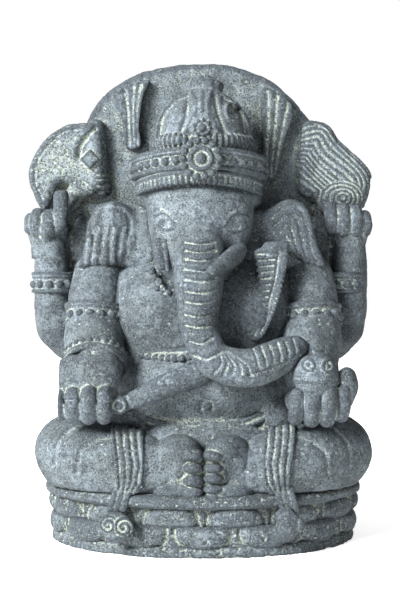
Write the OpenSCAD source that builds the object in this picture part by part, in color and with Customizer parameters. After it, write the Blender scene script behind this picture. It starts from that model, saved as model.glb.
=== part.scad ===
// Seated ganesha idol on a lotus base, as carved sections that meet face to face.
// It faces -Y with +Z up, and the origin is the centre of the underside.
// Left is -X and right is +X, as a viewer in front of it sees them.

/* [Base] */
// Width of the plinth, left to right
plinth_w = 252; // [220:1:290]
// Depth of the plinth, front to back
plinth_d = 200; // [170:1:230]
// Height of the plinth
plinth_h = 9; // [6:0.5:16]
// Height of the lower row of petals
lower_lotus_h = 15; // [11:0.5:22]
// Height of the upper row of petals
upper_lotus_h = 15; // [11:0.5:22]
// Height of the smooth seat rim
seat_h = 8; // [6:0.5:14]
// How far the seat rim stands out past the plinth
seat_out = 5; // [2:0.5:9]
// Petals round each row of the lotus
petals = 14; // [10:2:18]

/* [Back slab] */
// Width of the slab, which is also its arch's diameter
slab_w = 234; // [210:1:260]
// Thickness of the slab
slab_t = 43; // [30:1:50]
// Height of the arch above the crown
slab_rise = 20; // [8:1:40]

/* [Legs] */
// Width over both knees
knee_w = 268; // [250:1:300]
// Half thickness of a folded leg
leg_r = 28; // [24:0.5:32]
// Radius of the round knot at the foot of each sash
tassel_r = 12; // [9:0.5:14]

/* [Body] */
// Height of the shoulder line above the seat
torso_h = 166; // [145:1:190]
// Width between the shoulder centres
shoulder_w = 166; // [145:1:180]
// Width of the belly
belly_w = 150; // [130:1:165]
// Height of the belly's middle above the seat
belly_rise = 82; // [70:1:92]
// Width of the chest
chest_w = 146; // [130:1:160]

/* [Arms] */
// Radius of an upper arm
arm_r = 23; // [19:0.5:26]
// Radius of a wrist
wrist_r = 18; // [15:0.5:21]
// How far an armlet stands out from the arm
armlet_out = 2.5; // [1.5:0.5:5]
// Height of an armlet
armlet_h = 16; // [11:0.5:19]
// Height of the bracelet
bracelet_h = 9; // [6:0.5:13]
// Thickness of a finger
finger_t = 13; // [10:0.5:15]
// Reach of the back arms past the shoulder centres
back_reach = 36; // [30:1:42]
// How far the back arms and the axe lean to the left
sway = 4; // [0:0.5:6]

/* [Head] */
// Height of the head's middle above the shoulder line
neck_h = 43; // [36:1:52]
// Width of the head
head_w = 98; // [88:1:108]
// Thickness of the trunk at its root
trunk_w = 40; // [34:1:44]
// Thickness of an ear
ear_t = 13; // [9:0.5:18]
// Thickness of a tusk
tusk_t = 12.5; // [9:0.5:15]

/* [Crown] */
// Height of the crown's brow above the head's middle
brow_h = 42; // [36:1:50]
// Height of the studded band
band_h = 18; // [13:0.5:24]
// Height of the fringe under the band
fringe_h = 12; // [7:0.5:16]
// Height of the dome above the band
dome_h = 64; // [50:1:80]

/* [Attributes] */
// Radius of the axe blade
axe_r = 45; // [38:1:48]
// Thickness of the axe and of the fly whisk
attribute_t = 24; // [16:1:30]
// Radius of the sweet bowl
bowl_r = 17; // [14:0.5:20]

/* [Hidden] */

left = -1;
right = 1;
stone = "slategray";
worn = "lightslategray";
dusty = "darkgray";
big = 600;                                   // larger than the statue, for half spaces
facets = 14;                                 // sides of a body form
fine_facets = 8;                             // sides of fingers, petals and cords

// Levels, from the floor up
waist_z = plinth_h + lower_lotus_h;
rim_z = waist_z + upper_lotus_h;
seat_z = rim_z + seat_h;
belly_z = seat_z + belly_rise;
shoulder_z = seat_z + torso_h;
head_z = shoulder_z + neck_h;
brow_z = head_z + brow_h;
band_top = brow_z + band_h;
crown_top = band_top + dome_h;
slab_top = crown_top + slab_rise;

// Half sizes of the base's ovals
plinth_r = [plinth_w / 2, plinth_d / 2];
core_r = plinth_r - [8, 8];
seat_r = plinth_r + [seat_out, seat_out * 0.6];

// Planes and landmarks
slab_front = plinth_r[1] - 22 - slab_t;
arch_r = slab_w / 2;
knee_x = knee_w / 2 - leg_r;
leg_z = seat_z + leg_r - 1;
lap_z = leg_z + leg_r;
shoulder_x = shoulder_w / 2;
front_y = -plinth_r[1];                      // plane that the front of the carving keeps to
belly_front = front_y + 26;
hand_y = front_y + 18;
belly_r = [belly_w / 2, 62, belly_rise - 30];
belly_c = [1, belly_front + belly_r[1], belly_z];
chest_r = [chest_w / 2, 50, 44];
chest_c = [0, -4, shoulder_z - 19];
head_r = [head_w / 2, 42, 48];
head_c = [-3, -20, head_z];
band_r = [head_w / 2 + 10, 49];
crown_bead_r = 3;                            // beads round the medallion and pendants of the fringe
medallion_r = 13.5;
medallion_t = 5;
medallion_beads = 13;
fringe_oval = band_r - [3, 3];
fringe_step = 11;                            // degrees from one pendant to the next
fringe_side = 7;                             // pendants to each side of the middle one
stud_step = 15;                              // degrees from one stud of the band to the next
stud_side = 5;                               // studs to each side of the medallion's middle
bowl_c = [knee_x - 19, hand_y - 2, lap_z + 32];

// The trunk's centre line from its root to its tip, each with its own thickness as a share of the root's
trunk_line = [
    [head_c[0] + 1, -56, head_z - 14, 0.48],
    [head_c[0], -66, head_z - 38, 0.44],
    [head_c[0] - 1, -76, head_z - 60, 0.41],
    [head_c[0] + 2, -82, belly_z + 44, 0.38],
    [head_c[0] + 7, -84, belly_z + 27, 0.38],
    [head_c[0] + 18, -84, belly_z + 16, 0.37],
    [head_c[0] + 36, -84, belly_z + 18, 0.34],
    [head_c[0] + 49, -83, belly_z + 21, 0.30],
    [head_c[0] + 63, -82, belly_z + 26, 0.25],
    [bowl_c[0] - 13, -82, belly_z + 30, 0.19]];

// Arm joints: the shoulder, elbow and wrist of a front arm, then those of a back arm
function shoulder(s) = [s * shoulder_x, -8, shoulder_z - 2];
function elbow(s) = [s * (shoulder_x + 5), -24, lap_z + 64];
function wrist(s) = [s * (knee_x - 21), hand_y + 20, lap_z + 44];
function palm(s) = [s * (knee_x - 25), hand_y + 4, lap_z + 25];
function back_shoulder(s) = [s * (shoulder_x + 3), 14, shoulder_z + 2];
function back_elbow(s) = [s * (shoulder_x + back_reach - 3) - sway, 14, shoulder_z - 46];
function back_wrist(s) = [s * (shoulder_x + back_reach + 2) - sway, 12, shoulder_z + 22];
function back_palm(s) = [s * (shoulder_x + back_reach + 3) - sway, 2, shoulder_z + 38];

// Point on an oval of half sizes r at angle a, and the direction that it faces there
function on_oval(r, a) = [r[0] * cos(a), r[1] * sin(a)];
function facing(r, a) = atan2(sin(a) / r[1], cos(a) / r[0]);
// Point of a shape's front on an upright line x, z, for an ellipsoid of centre c and half sizes r
function front_of(c, r, x, z) =
    [x, c[1] - r[1] * sqrt(max(0, 1 - pow((x - c[0]) / r[0], 2) - pow((z - c[2]) / r[2], 2))), z];

// Rounded form with its own half sizes
module ball(c, r, fn = facets) {
    translate(c) scale(r) sphere(r = 1, $fn = fn);
}

// Chain of rounded links through points that each carry a radius
module limb(points, fn = facets) {
    for (i = [0 : len(points) - 2]) hull() {
        ball([points[i][0], points[i][1], points[i][2]], points[i][3] * [1, 1, 1], fn);
        ball([points[i + 1][0], points[i + 1][1], points[i + 1][2]],
             points[i + 1][3] * [1, 1, 1], fn);
    }
}

// Upright oval prism between two levels
module oval(r, z_low, z_high) {
    translate([0, 0, z_low]) linear_extrude(z_high - z_low)
        polygon([for (a = [0 : 7.5 : 359]) on_oval(r, a)]);
}

// Round stud with its middle at point c, and a plainer bead for rows that other forms cut
module stud(c, r) {
    translate(c) sphere(r = r, $fn = 24);
}
module bead(c, r) {
    hull() ball(c, [r, r, r], fine_facets);
}

// Ring let into a limb of radius r, with studs round it, and the groove that it sits in
module studded_ring(r, h, studs) {
    rotate_extrude($fn = 32) polygon([
        [r - 5, -h / 2], [r + armlet_out - 1, -h / 2], [r + armlet_out, -h / 4],
        [r + armlet_out, h / 4], [r + armlet_out - 1, h / 2], [r - 5, h / 2]]);
    for (i = [0 : studs - 1]) rotate([0, 0, i * 360 / studs]) stud([r + armlet_out - 0.5, 0, 0], h / 5);
}
module ring_groove(r, h) {
    difference() {
        cylinder(r = r + armlet_out + h / 5, h = h, center = true, $fn = 32);
        cylinder(r = r - 5, h = h + 1, center = true, $fn = 32);
    }
}

// ---- Base ----

// Row of petals round an oval, each a rounded leaf that stands out from the core; shift is in petals
module petal_row(z_low, z_high, r, shift) {
    half = PI * (r[0] + r[1]) / 2 / petals;  // half the width of one petal
    mid = (z_low + z_high) / 2;
    tall = (z_high - z_low) / 2;
    for (i = [0 : petals - 1]) {
        a = -90 + (i + shift) * 360 / petals;
        p = on_oval(r, a);
        translate([p[0], p[1], mid]) rotate([0, 0, facing(r, a)]) hull()
            ball([-3, 0, 0], [8, half * 1.02, tall], fine_facets);
    }
}

module between(z_low, z_high) {
    translate([-big / 2, -big / 2, z_low]) cube([big, big, z_high - z_low]);
}

module plinth() {
    color(stone) oval(plinth_r, 0, plinth_h);
}

module lower_lotus() {
    color(dusty) intersection() {
        union() {
            oval(core_r, plinth_h, waist_z);
            petal_row(plinth_h - 3, waist_z - 2, core_r + [7, 5.5], 0);
        }
        difference() {
            between(plinth_h, waist_z);
            tassel_place(left) tassel_disc();
            tassel_place(right) tassel_disc();
        }
    }
}

module upper_lotus() {
    color(stone) intersection() {
        union() {
            oval(core_r + [3, 2], waist_z, rim_z);
            petal_row(waist_z - 1, rim_z + 2, core_r + [7, 5.5], 0.5);
        }
        difference() {
            between(waist_z, rim_z);
            tassel_place(left) tassel_disc();
            tassel_place(right) tassel_disc();
        }
    }
}

module lotus_seat_shape() {
    oval(seat_r, rim_z, seat_z);
}

module lotus_seat() {
    color(worn) lotus_seat_shape();
}

// ---- Back slab and what hangs on its face ----

// Arched slab whose back is rounded to the base's own oval
module slab_shape() {
    arch_z = slab_top - arch_r;
    intersection() {
        translate([0, slab_front + slab_t, 0]) rotate([90, 0, 0]) linear_extrude(slab_t) union() {
            translate([0, arch_z]) circle(r = arch_r, $fn = 96);
            translate([-arch_r, seat_z]) square([slab_w, arch_z - seat_z]);
        }
        oval(seat_r, seat_z, slab_top);
    }
}

module back_slab() {
    color(stone) slab_shape();
}

// Flat streamer on the slab's face through points [x, z], with its own width at each point
module streamer(line, thick) {
    translate([0, slab_front, 0]) rotate([90, 0, 0]) linear_extrude(thick)
        polygon(concat([for (p = line) [p[0] - p[2] / 2, p[1]]],
                       [for (i = [len(line) - 1 : -1 : 0]) [line[i][0] + line[i][2] / 2, line[i][1]]]));
}

module halo_ribbon_left() {
    color(dusty) streamer([[-band_r[0] + 4, brow_z + 28, 18], [-band_r[0] + 4, brow_z + 50, 17],
                           [-band_r[0] + 4, crown_top + 5, 20]], 6);
}

module halo_ribbon_right() {
    color(dusty) difference() {
        streamer([[band_r[0] + 13, brow_z - 6, 24], [band_r[0] + 11, brow_z + 24, 21],
                  [band_r[0] + 7, brow_z + 50, 20], [band_r[0] + 2, crown_top - 4, 24]], 6);
        whisk_shape();
    }
}

// ---- Body ----

module belly_shape() {
    hull() {
        ball(belly_c, belly_r, 20);
        ball([0, -6, seat_z + 30], [belly_w / 2 - 10, 52, 31], 20);
    }
    hull() ball([0, -6, seat_z + 22], [belly_w / 2 + 6, 50, 26], 20);
}

module chest_shape() {
    hull() {
        ball(chest_c, chest_r, 20);
        for (s = [left, right]) ball(shoulder(s) + [0, 6, -2], [20, 22, 18]);
    }
    for (s = [left, right]) hull() {
        ball(chest_c + [s * 34, -24, -6], [32, 26, 30]);
        ball(chest_c + [s * 30, -18, -22], [28, 24, 24]);
    }
}

module behind_slab_face() {
    translate([-big / 2, slab_front, 0]) cube([big, big, big]);
}

module belly() {
    color(worn) difference() {
        belly_shape();
        behind_slab_face();
        between(0, seat_z);
        chest_shape();
        leg_shape(left);
        leg_shape(right);
    }
}

module chest() {
    color(worn) difference() {
        chest_shape();
        behind_slab_face();
        head_shape();
        for (s = [left, right]) {
            front_arm_shape(s);
            front_armlet_place(s) ring_groove(arm_r - 1, armlet_h);
            back_armlet_place(s) ring_groove(arm_r - 3, armlet_h);
        }
    }
}

// Cord laid on the belly under its bulge, low in the middle
module belt_shape() {
    reach = belly_w / 2 - 17;
    limb([for (i = [-5 : 5])
        let (x = i / 5 * reach, p = front_of(belly_c, belly_r, x, belly_z - 30 + 14 * pow(i / 5, 2)))
        [p[0], p[1], p[2], 4]], fine_facets);
}

module belly_belt() {
    color(dusty) difference() {
        belt_shape();
        belly_shape();
        leg_shape(left);
        leg_shape(right);
        foot_shape(left);
        foot_shape(right);
    }
}

// Studded strap that shows on the left between the arm and the trunk
module chest_band() {
    color(dusty) difference() {
        for (i = [0 : 8]) {
            p = front_of(belly_c, belly_r, -50 + 4.5 * i, belly_z + 29 - 1.3 * i);
            bead([p[0], p[1] + 1, p[2]], 5);
        }
        belly_shape();
        chest_shape();
        trunk_shape();
        front_arm_shape(left);
        held_tusk_shape();
    }
}

// Cross-banded thread that hangs over the right breast and narrows downwards
module sacred_thread() {
    color(dusty) difference() {
        limb([[chest_c[0] + 54, -48, chest_c[2] + 34, 9], [chest_c[0] + 52, -54, chest_c[2] + 20, 8],
              [chest_c[0] + 50, -55, chest_c[2] + 6, 7], [chest_c[0] + 48, -54, chest_c[2] - 8, 6],
              [chest_c[0] + 44, -52, chest_c[2] - 22, 5]], fine_facets);
        chest_shape();
        head_shape();
        ear_shape(right);
        front_arm_shape(right);
        belly_shape();
    }
}

// Short string of beads under the left tusk stub
module bead_string() {
    color(dusty) difference() {
        for (i = [0 : 5])
            bead([chest_c[0] - 40 + 2.6 * i, chest_c[1] - 46 - 0.4 * i, chest_c[2] + 24 - 5 * i], 4.2);
        chest_shape();
        head_shape();
        trunk_shape();
        tusk_stub_shape();
    }
}

// ---- Legs, feet and the sashes between them ----

module leg_shape(s) {
    limb([[s * (knee_x - 52), 4, leg_z, leg_r - 3], [s * (knee_x - 22), -14, leg_z, leg_r - 1],
          [s * knee_x, -34, leg_z, leg_r], [s * (knee_x - 18), front_y + 40, leg_z, leg_r - 1],
          [s * (knee_x - 42), front_y + 33, leg_z - 4, leg_r - 5],
          [s * (knee_x - 62), front_y + 27, leg_z - 7, leg_r - 9]], 16);
}

module foot_shape(s) {
    hull() {
        ball([s * 27, front_y + 22, seat_z + 22], [13, 13, 21]);
        ball([s * 18, front_y + 17, seat_z + 20], [12, 12, 20]);
    }
    for (i = [0 : 3]) hull() {
        ball([s * 8, front_y + 8, seat_z + 5 + i * 9.5 + 1.4 * i], [8, 8, 4.6 + i * 0.5], fine_facets);
        ball([s * 15, front_y + 16, seat_z + 6 + i * 9.5 + 1.4 * i], [7, 7, 4.6 + i * 0.5], fine_facets);
    }
}

module beyond_middle(s) {
    translate([s > 0 ? -big : 0, -big / 2, 0]) cube([big, big, big]);
}

module leg(s) {
    color(stone) difference() {
        leg_shape(s);
        between(0, seat_z);
        behind_slab_face();
        foot_shape(s);
    }
}

module foot(s) {
    color(worn) difference() {
        foot_shape(s);
        between(0, seat_z);
        beyond_middle(s);
    }
}

// Pleated sash that falls over the shin and the seat's rim
module sash_shape(s) {
    limb([[s * 60, front_y + 18, leg_z + 22, 6], [s * 62, front_y + 7, leg_z + 10, 6.5],
          [s * 63, front_y + 6, leg_z - 8, 6.5], [s * 64, front_y + 8, seat_z + 6, 6.5],
          [s * 65, front_y + 10, seat_z - 8, 7]], fine_facets);
}

// Round knot at the sash's foot, a disc with a ring of studs
module tassel_place(s) {
    translate([s * 65, front_y + 8, waist_z + 1]) rotate([90, 0, 0]) children();
}
module tassel_disc() {
    cylinder(r = tassel_r, h = 9, $fn = 32);
}

module sash(s) {
    color(dusty) difference() {
        sash_shape(s);
        leg_shape(s);
        lotus_seat_shape();
        belly_shape();
        tassel_place(s) tassel_disc();
        between(0, rim_z);
    }
}

module sash_tassel(s) {
    color(dusty) tassel_place(s) {
        tassel_disc();
        cylinder(r = tassel_r / 3, h = 12, $fn = 32);
        for (i = [0 : 6]) rotate([0, 0, i * 360 / 7]) stud([tassel_r * 0.66, 0, 9], tassel_r / 4);
    }
}

// ---- Front arms and hands ----

module front_arm_shape(s) {
    a = shoulder(s);
    e = elbow(s);
    w = wrist(s);
    limb([concat(a, arm_r), concat((a + e) / 2 + [s * 2, -2, 0], arm_r), concat(e, arm_r - 1),
          concat((e + w) / 2, (arm_r + wrist_r) / 2), concat(w, wrist_r)]);
}

module front_arm(s) {
    color(worn) difference() {
        front_arm_shape(s);
        behind_slab_face();
        ear_shape(s);
        head_shape();
        leg_shape(s);
        belly_shape();
        front_hand_shape(s);
        front_armlet_place(s) ring_groove(arm_r - 1, armlet_h);
        back_armlet_place(s) ring_groove(arm_r - 3, armlet_h);
        if (s < 0) bracelet_place() ring_groove(wrist_r, bracelet_h);
        if (s > 0) bowl_shape();
        if (s > 0) trunk_shape();
    }
}

module front_armlet_place(s) {
    translate(elbow(s) + [0, 0, armlet_h]) rotate([14, s * 3, 0]) children();
}

module front_armlet(s) {
    color(dusty) front_armlet_place(s) studded_ring(arm_r - 1, armlet_h, 14);
}

module bracelet_place() {
    w = wrist(left);
    translate(w + (elbow(left) - w) * 0.1) rotate([62, 0, 0]) children();
}

module bracelet_left() {
    color(dusty) bracelet_place() studded_ring(wrist_r, bracelet_h, 14);
}

// Hand laid on the knee with its four fingers down over the front, thumb towards the middle
module front_hand_shape(s) {
    p = palm(s);
    hull() {
        ball(p + [0, 0, 2], [23, 14, 12]);
        ball(p + [0, 5, 10], [20, 12, 10]);
    }
    for (i = [0 : 3]) limb([
        [p[0] + (i - 1.5) * 11.5, p[1] - 7, p[2] - 2, finger_t / 2],
        [p[0] + (i - 1.5) * 11.8, p[1] - 10, p[2] - 10, finger_t / 2],
        [p[0] + (i - 1.5) * 11.8, p[1] - 7, p[2] - 18, finger_t / 2 - 0.5]], fine_facets);
    thumb = s < 0 ? [p[0] + 25, p[1] - 2, p[2] - 8] : [p[0] + 27, p[1] + 2, p[2] + 10];
    limb([concat(p + [(thumb[0] - p[0]) * 0.6, 2, 0], 7), concat(thumb, 5.5)], fine_facets);
}

module front_hand(s) {
    color(worn) difference() {
        front_hand_shape(s);
        leg_shape(s);
        belly_shape();
        if (s > 0) bowl_shape();
        if (s < 0) bracelet_place() ring_groove(wrist_r, bracelet_h);
        if (s < 0) held_tusk_shape();
    }
}

module bowl_shape() {
    translate(bowl_c - [0, 0, 12]) rotate_extrude($fn = 48)
        polygon([[0, 0], [bowl_r - 5, 0], [bowl_r - 1, 4], [bowl_r, 9], [bowl_r - 1, 13],
                 [bowl_r - 4, 18], [bowl_r - 9, 22], [0, 24]]);
}

module sweet_bowl() {
    color(dusty) bowl_shape();
}

// Broken tusk held against the belly, from the left hand to under the trunk
module held_tusk_shape() {
    tip = front_of(belly_c, belly_r, trunk_line[4][0] - 6, belly_z + 13);
    grip = palm(left) + [23, -4, -9];
    limb([concat(grip, 7), concat(grip * 0.6 + (tip + [0, -2, 0]) * 0.4, 8),
          concat(tip + [0, -2, 0], 8)], 12);
}

module held_tusk() {
    color(worn) difference() {
        held_tusk_shape();
        belly_shape();
        trunk_shape();
        leg_shape(left);
        chest_shape();
        front_arm_shape(left);
    }
}

// ---- Back arms, hands and what they hold ----

module back_arm_shape(s) {
    a = back_shoulder(s);
    e = back_elbow(s);
    w = back_wrist(s);
    limb([concat(a, arm_r - 2), concat((a + e) / 2 + [s * 2, 0, -4], arm_r - 2), concat(e, arm_r - 2),
          concat((e + w) / 2, arm_r - 3), concat(w, wrist_r)]);
}

module back_arm(s) {
    color(stone) difference() {
        back_arm_shape(s);
        behind_slab_face();
        front_arm_shape(s);
        chest_shape();
        ear_shape(s);
        back_hand_shape(s);
        back_armlet_place(s) ring_groove(arm_r - 3, armlet_h);
        front_armlet_place(s) ring_groove(arm_r - 1, armlet_h);
        head_shape();
        if (s < 0) axe_shape();
        if (s > 0) whisk_shape();
    }
}

module back_armlet_place(s) {
    e = back_elbow(s);
    w = back_wrist(s);
    translate(e + (w - e) * 0.64) rotate([0, s * 4, 0]) children();
}

module back_armlet(s) {
    color(dusty) difference() {
        back_armlet_place(s) studded_ring(arm_r - 3, armlet_h, 16);
        behind_slab_face();
    }
}

module back_hand_shape(s) {
    p = back_palm(s);
    hull() {
        ball(p + [0, 8, 0], [18, 11, 11]);
        ball(p + [0, 6, 8], [16, 10, 10]);
    }
    for (i = [0 : 3]) limb([
        [p[0] + s * (i - 1.3) * 10, p[1] + 2 + i, p[2] + 12 - i, finger_t / 2 - 1],
        [p[0] + s * (i - 1.3) * 10.4, p[1] - 5 + i, p[2] + 6 - i, finger_t / 2 - 1],
        [p[0] + s * (i - 1.3) * 10.4, p[1] - 4 + i, p[2] - 3 - i, finger_t / 2 - 1.5]], fine_facets);
    limb([[p[0] - s * 12, p[1] + 2, p[2] + 10, 6], [p[0] - s * 6, p[1] - 1, p[2] + 22, 5]], fine_facets);
}

module back_hand(s) {
    color(worn) difference() {
        back_hand_shape(s);
        behind_slab_face();
        if (s < 0) axe_shape();
        if (s > 0) whisk_shape();
    }
}

// Flat crescent blade with a square boss, standing just proud of the slab's face
module axe_shape() {
    c = [-(shoulder_x + sway + 17), slab_top - 97];
    translate([0, slab_front, 0]) rotate([90, 0, 0]) linear_extrude(attribute_t) difference() {
        translate(c) circle(r = axe_r, $fn = 72);
        translate(c + [axe_r * 0.9, -axe_r * 0.92]) circle(r = axe_r * 0.3, $fn = 36);
        translate([c[0] + axe_r - 24, c[1] - big / 2]) square([big, big]);
    }
}

module axe_boss() {
    c = [-(shoulder_x + sway + 9), slab_top - 84];
    translate([c[0], slab_front - attribute_t, c[1]]) rotate([90, 0, 0])
        linear_extrude(5) rotate(45) square(15, center = true);
}

module axe() {
    color(stone) {
        axe_shape();
        axe_boss();
    }
}

// Fly whisk whose hair swells to a round end above the hand
module whisk_shape() {
    top = [shoulder_x + 10, slab_top - 65];
    bulb = [shoulder_x + 44, slab_top - 106];
    translate([0, slab_front, 0]) rotate([90, 0, 0]) linear_extrude(attribute_t) hull() {
        translate(top) circle(r = 13, $fn = 32);
        translate(bulb) circle(r = 17, $fn = 32);
        translate([shoulder_x + 8, slab_top - 104]) circle(r = 11, $fn = 32);
    }
}

module fly_whisk() {
    color(stone) whisk_shape();
}

// ---- Head ----

module head_shape() {
    intersection() {
        union() {
            hull() {
                ball(head_c, head_r, 20);
                ball(head_c + [0, -6, 16], [head_r[0] - 6, 40, 30], 20);
            }
            hull() {
                ball(head_c + [0, -6, -22], [head_r[0] - 8, 36, 26]);
                ball(head_c + [0, -10, -34], [head_r[0] - 16, 26, 20]);
            }
            for (s = [left, right]) hull() ball(head_c + [s * 32, -18, -4], [14, 24, 22]);
        }
        between(0, brow_z - fringe_h);
    }
}

module head() {
    color(worn) difference() {
        head_shape();
        behind_slab_face();
        trunk_shape();
        tusk_right_shape();
        tusk_stub_shape();
    }
}

module trunk_shape() {
    limb([for (p = trunk_line) [p[0], p[1], p[2], p[3] * trunk_w]], 16);
}

module trunk() {
    color(worn) difference() {
        trunk_shape();
        tusk_right_shape();
        belly_shape();
        chest_shape();
        bowl_shape();
        front_hand_shape(right);
    }
}

// Broad fan from the temple down over the shoulder
module ear_shape(s) {
    tip = s < 0 ? [s * 92, -26, shoulder_z + 15] : [s * 90, -22, shoulder_z + 16];
    hull() {
        ball([s * 52, -22, head_z + 10], [12, ear_t / 2, 12]);
        ball([s * 84, -16, head_z + 12], [11, ear_t / 2, 14]);
    }
    hull() {
        ball([s * 84, -16, head_z + 12], [11, ear_t / 2, 14]);
        ball([s * 52, -24, head_z], [12, ear_t / 2, 14]);
        ball(tip, [10, ear_t / 2, 8]);
    }
    hull() {
        ball([s * 52, -24, head_z + 8], [12, ear_t / 2, 14]);
        ball([s * 60, -34, shoulder_z + 22], [12, ear_t / 2, 9]);
        ball(tip, [10, ear_t / 2, 8]);
    }
}

module ear(s) {
    color(worn) difference() {
        ear_shape(s);
        behind_slab_face();
        head_shape();
        chest_shape();
        between(brow_z - fringe_h, big);
        if (s < 0) axe_shape();
        if (s > 0) whisk_shape();
    }
}

module tusk_right_shape() {
    limb([concat(head_c + [36, -42, -14], tusk_t / 2), concat(head_c + [24, -54, -28], tusk_t / 2),
          concat(head_c + [12, -63, -41], tusk_t / 2 - 1.5)], 12);
}

module tusk_right() {
    color(worn) tusk_right_shape();
}

module tusk_stub_shape() {
    hull() {
        ball(head_c + [-30, -40, -16], [6, 7, 8], 12);
        ball(head_c + [-29, -43, -28], [5.5, 6, 7], 12);
    }
}

module tusk_stub_left() {
    color(worn) tusk_stub_shape();
}

// ---- Crown ----

module band_shape() {
    translate([head_c[0], head_c[1], 0]) oval(band_r, brow_z, band_top);
}

module crown_band() {
    color(dusty) difference() {
        union() {
            band_shape();
            for (i = [-stud_side : stud_side]) if (abs(i) > 1) {
                p = on_oval(band_r, -90 + i * stud_step);
                stud([head_c[0] + p[0], head_c[1] + p[1], (brow_z + band_top) / 2], 4.5);
            }
        }
        behind_slab_face();
    }
}

// Round flower on the band's front, a disc with a raised middle and a ring of beads
module crown_medallion() {
    color(dusty) translate([head_c[0], head_c[1] - band_r[1], (brow_z + band_top) / 2])
    rotate([90, 0, 0]) {
        cylinder(r = medallion_r, h = medallion_t, $fn = 48);
        cylinder(r = medallion_r / 2, h = medallion_t + 2, $fn = 36);
        for (i = [1 : medallion_beads])
            rotate([0, 0, i * 360 / medallion_beads])
            translate([medallion_r + 1, 0, 0]) cylinder(r = crown_bead_r, h = medallion_t, $fn = 20);
    }
}

module crown_fringe() {
    color(dusty) difference() {
        translate([head_c[0], head_c[1], brow_z - fringe_h]) {
            oval(fringe_oval, 0, fringe_h);
            for (i = [-fringe_side : fringe_side]) {
                p = on_oval(fringe_oval - [0.5, 0.5], -90 + i * fringe_step);
                translate([p[0], p[1], 0]) cylinder(r = crown_bead_r, h = fringe_h, $fn = 20);
            }
        }
        behind_slab_face();
    }
}

module dome_shape() {
    intersection() {
        union() {
            hull() ball([head_c[0], -12, band_top + 2], [band_r[0] - 14, 42, dome_h - 4], 20);
            for (s = [left, right]) hull() {
                ball([head_c[0] + s * 20, -22, band_top + 14], [23, 30, 28]);
                ball([head_c[0] + s * 14, -18, band_top + 34], [16, 22, 18]);
            }
        }
        between(band_top, crown_top);
    }
}

module finial_shape() {
    hull() {
        ball([head_c[0] + 6, -14, crown_top - 7], [17, 14, 4], fine_facets);
        ball([head_c[0] + 6, -14, crown_top - 5], [12, 10, 5], fine_facets);
    }
}

module crown_dome() {
    color(stone) difference() {
        dome_shape();
        behind_slab_face();
        finial_shape();
    }
}

module crown_finial() {
    color(dusty) finial_shape();
}

plinth();
lower_lotus();
upper_lotus();
lotus_seat();
back_slab();
halo_ribbon_left();
halo_ribbon_right();
belly();
chest();
belly_belt();
chest_band();
sacred_thread();
bead_string();
leg(left);  // leg_left
leg(right);  // leg_right
foot(left);  // foot_left
foot(right);  // foot_right
sash(left);  // sash_left
sash(right);  // sash_right
sash_tassel(left);  // sash_tassel_left
sash_tassel(right);  // sash_tassel_right
front_arm(left);  // front_arm_left
front_arm(right);  // front_arm_right
front_armlet(left);  // front_armlet_left
front_armlet(right);  // front_armlet_right
bracelet_left();
front_hand(left);  // front_hand_left
front_hand(right);  // front_hand_right
back_arm(left);  // back_arm_left
back_arm(right);  // back_arm_right
back_armlet(left);  // back_armlet_left
back_armlet(right);  // back_armlet_right
back_hand(left);  // back_hand_left
back_hand(right);  // back_hand_right
axe();
fly_whisk();
held_tusk();
sweet_bowl();
head();
trunk();
ear(left);  // ear_left
ear(right);  // ear_right
tusk_right();
tusk_stub_left();
crown_band();
crown_medallion();
crown_fringe();
crown_dome();
crown_finial();
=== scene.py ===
import math
import bpy
import numpy as np
import openvdb
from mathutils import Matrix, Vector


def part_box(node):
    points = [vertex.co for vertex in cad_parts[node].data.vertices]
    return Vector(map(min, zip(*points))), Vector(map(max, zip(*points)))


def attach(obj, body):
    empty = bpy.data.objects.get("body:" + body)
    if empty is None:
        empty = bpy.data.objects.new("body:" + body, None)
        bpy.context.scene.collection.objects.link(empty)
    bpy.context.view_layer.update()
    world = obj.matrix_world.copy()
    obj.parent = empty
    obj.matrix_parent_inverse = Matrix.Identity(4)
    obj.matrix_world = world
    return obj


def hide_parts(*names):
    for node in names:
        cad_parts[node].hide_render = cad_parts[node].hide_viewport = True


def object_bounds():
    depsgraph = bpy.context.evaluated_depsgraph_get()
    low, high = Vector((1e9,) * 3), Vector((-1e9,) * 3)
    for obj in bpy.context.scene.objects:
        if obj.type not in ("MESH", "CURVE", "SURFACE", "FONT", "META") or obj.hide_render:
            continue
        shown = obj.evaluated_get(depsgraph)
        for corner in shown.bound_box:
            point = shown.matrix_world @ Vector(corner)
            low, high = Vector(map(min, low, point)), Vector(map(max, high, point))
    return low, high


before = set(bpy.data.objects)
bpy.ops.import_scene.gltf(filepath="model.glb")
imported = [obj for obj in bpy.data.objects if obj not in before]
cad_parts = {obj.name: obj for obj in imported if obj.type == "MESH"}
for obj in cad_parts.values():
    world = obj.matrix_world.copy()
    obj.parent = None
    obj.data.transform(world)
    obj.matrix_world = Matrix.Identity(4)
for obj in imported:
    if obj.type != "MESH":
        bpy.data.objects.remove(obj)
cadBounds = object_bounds()


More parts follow.
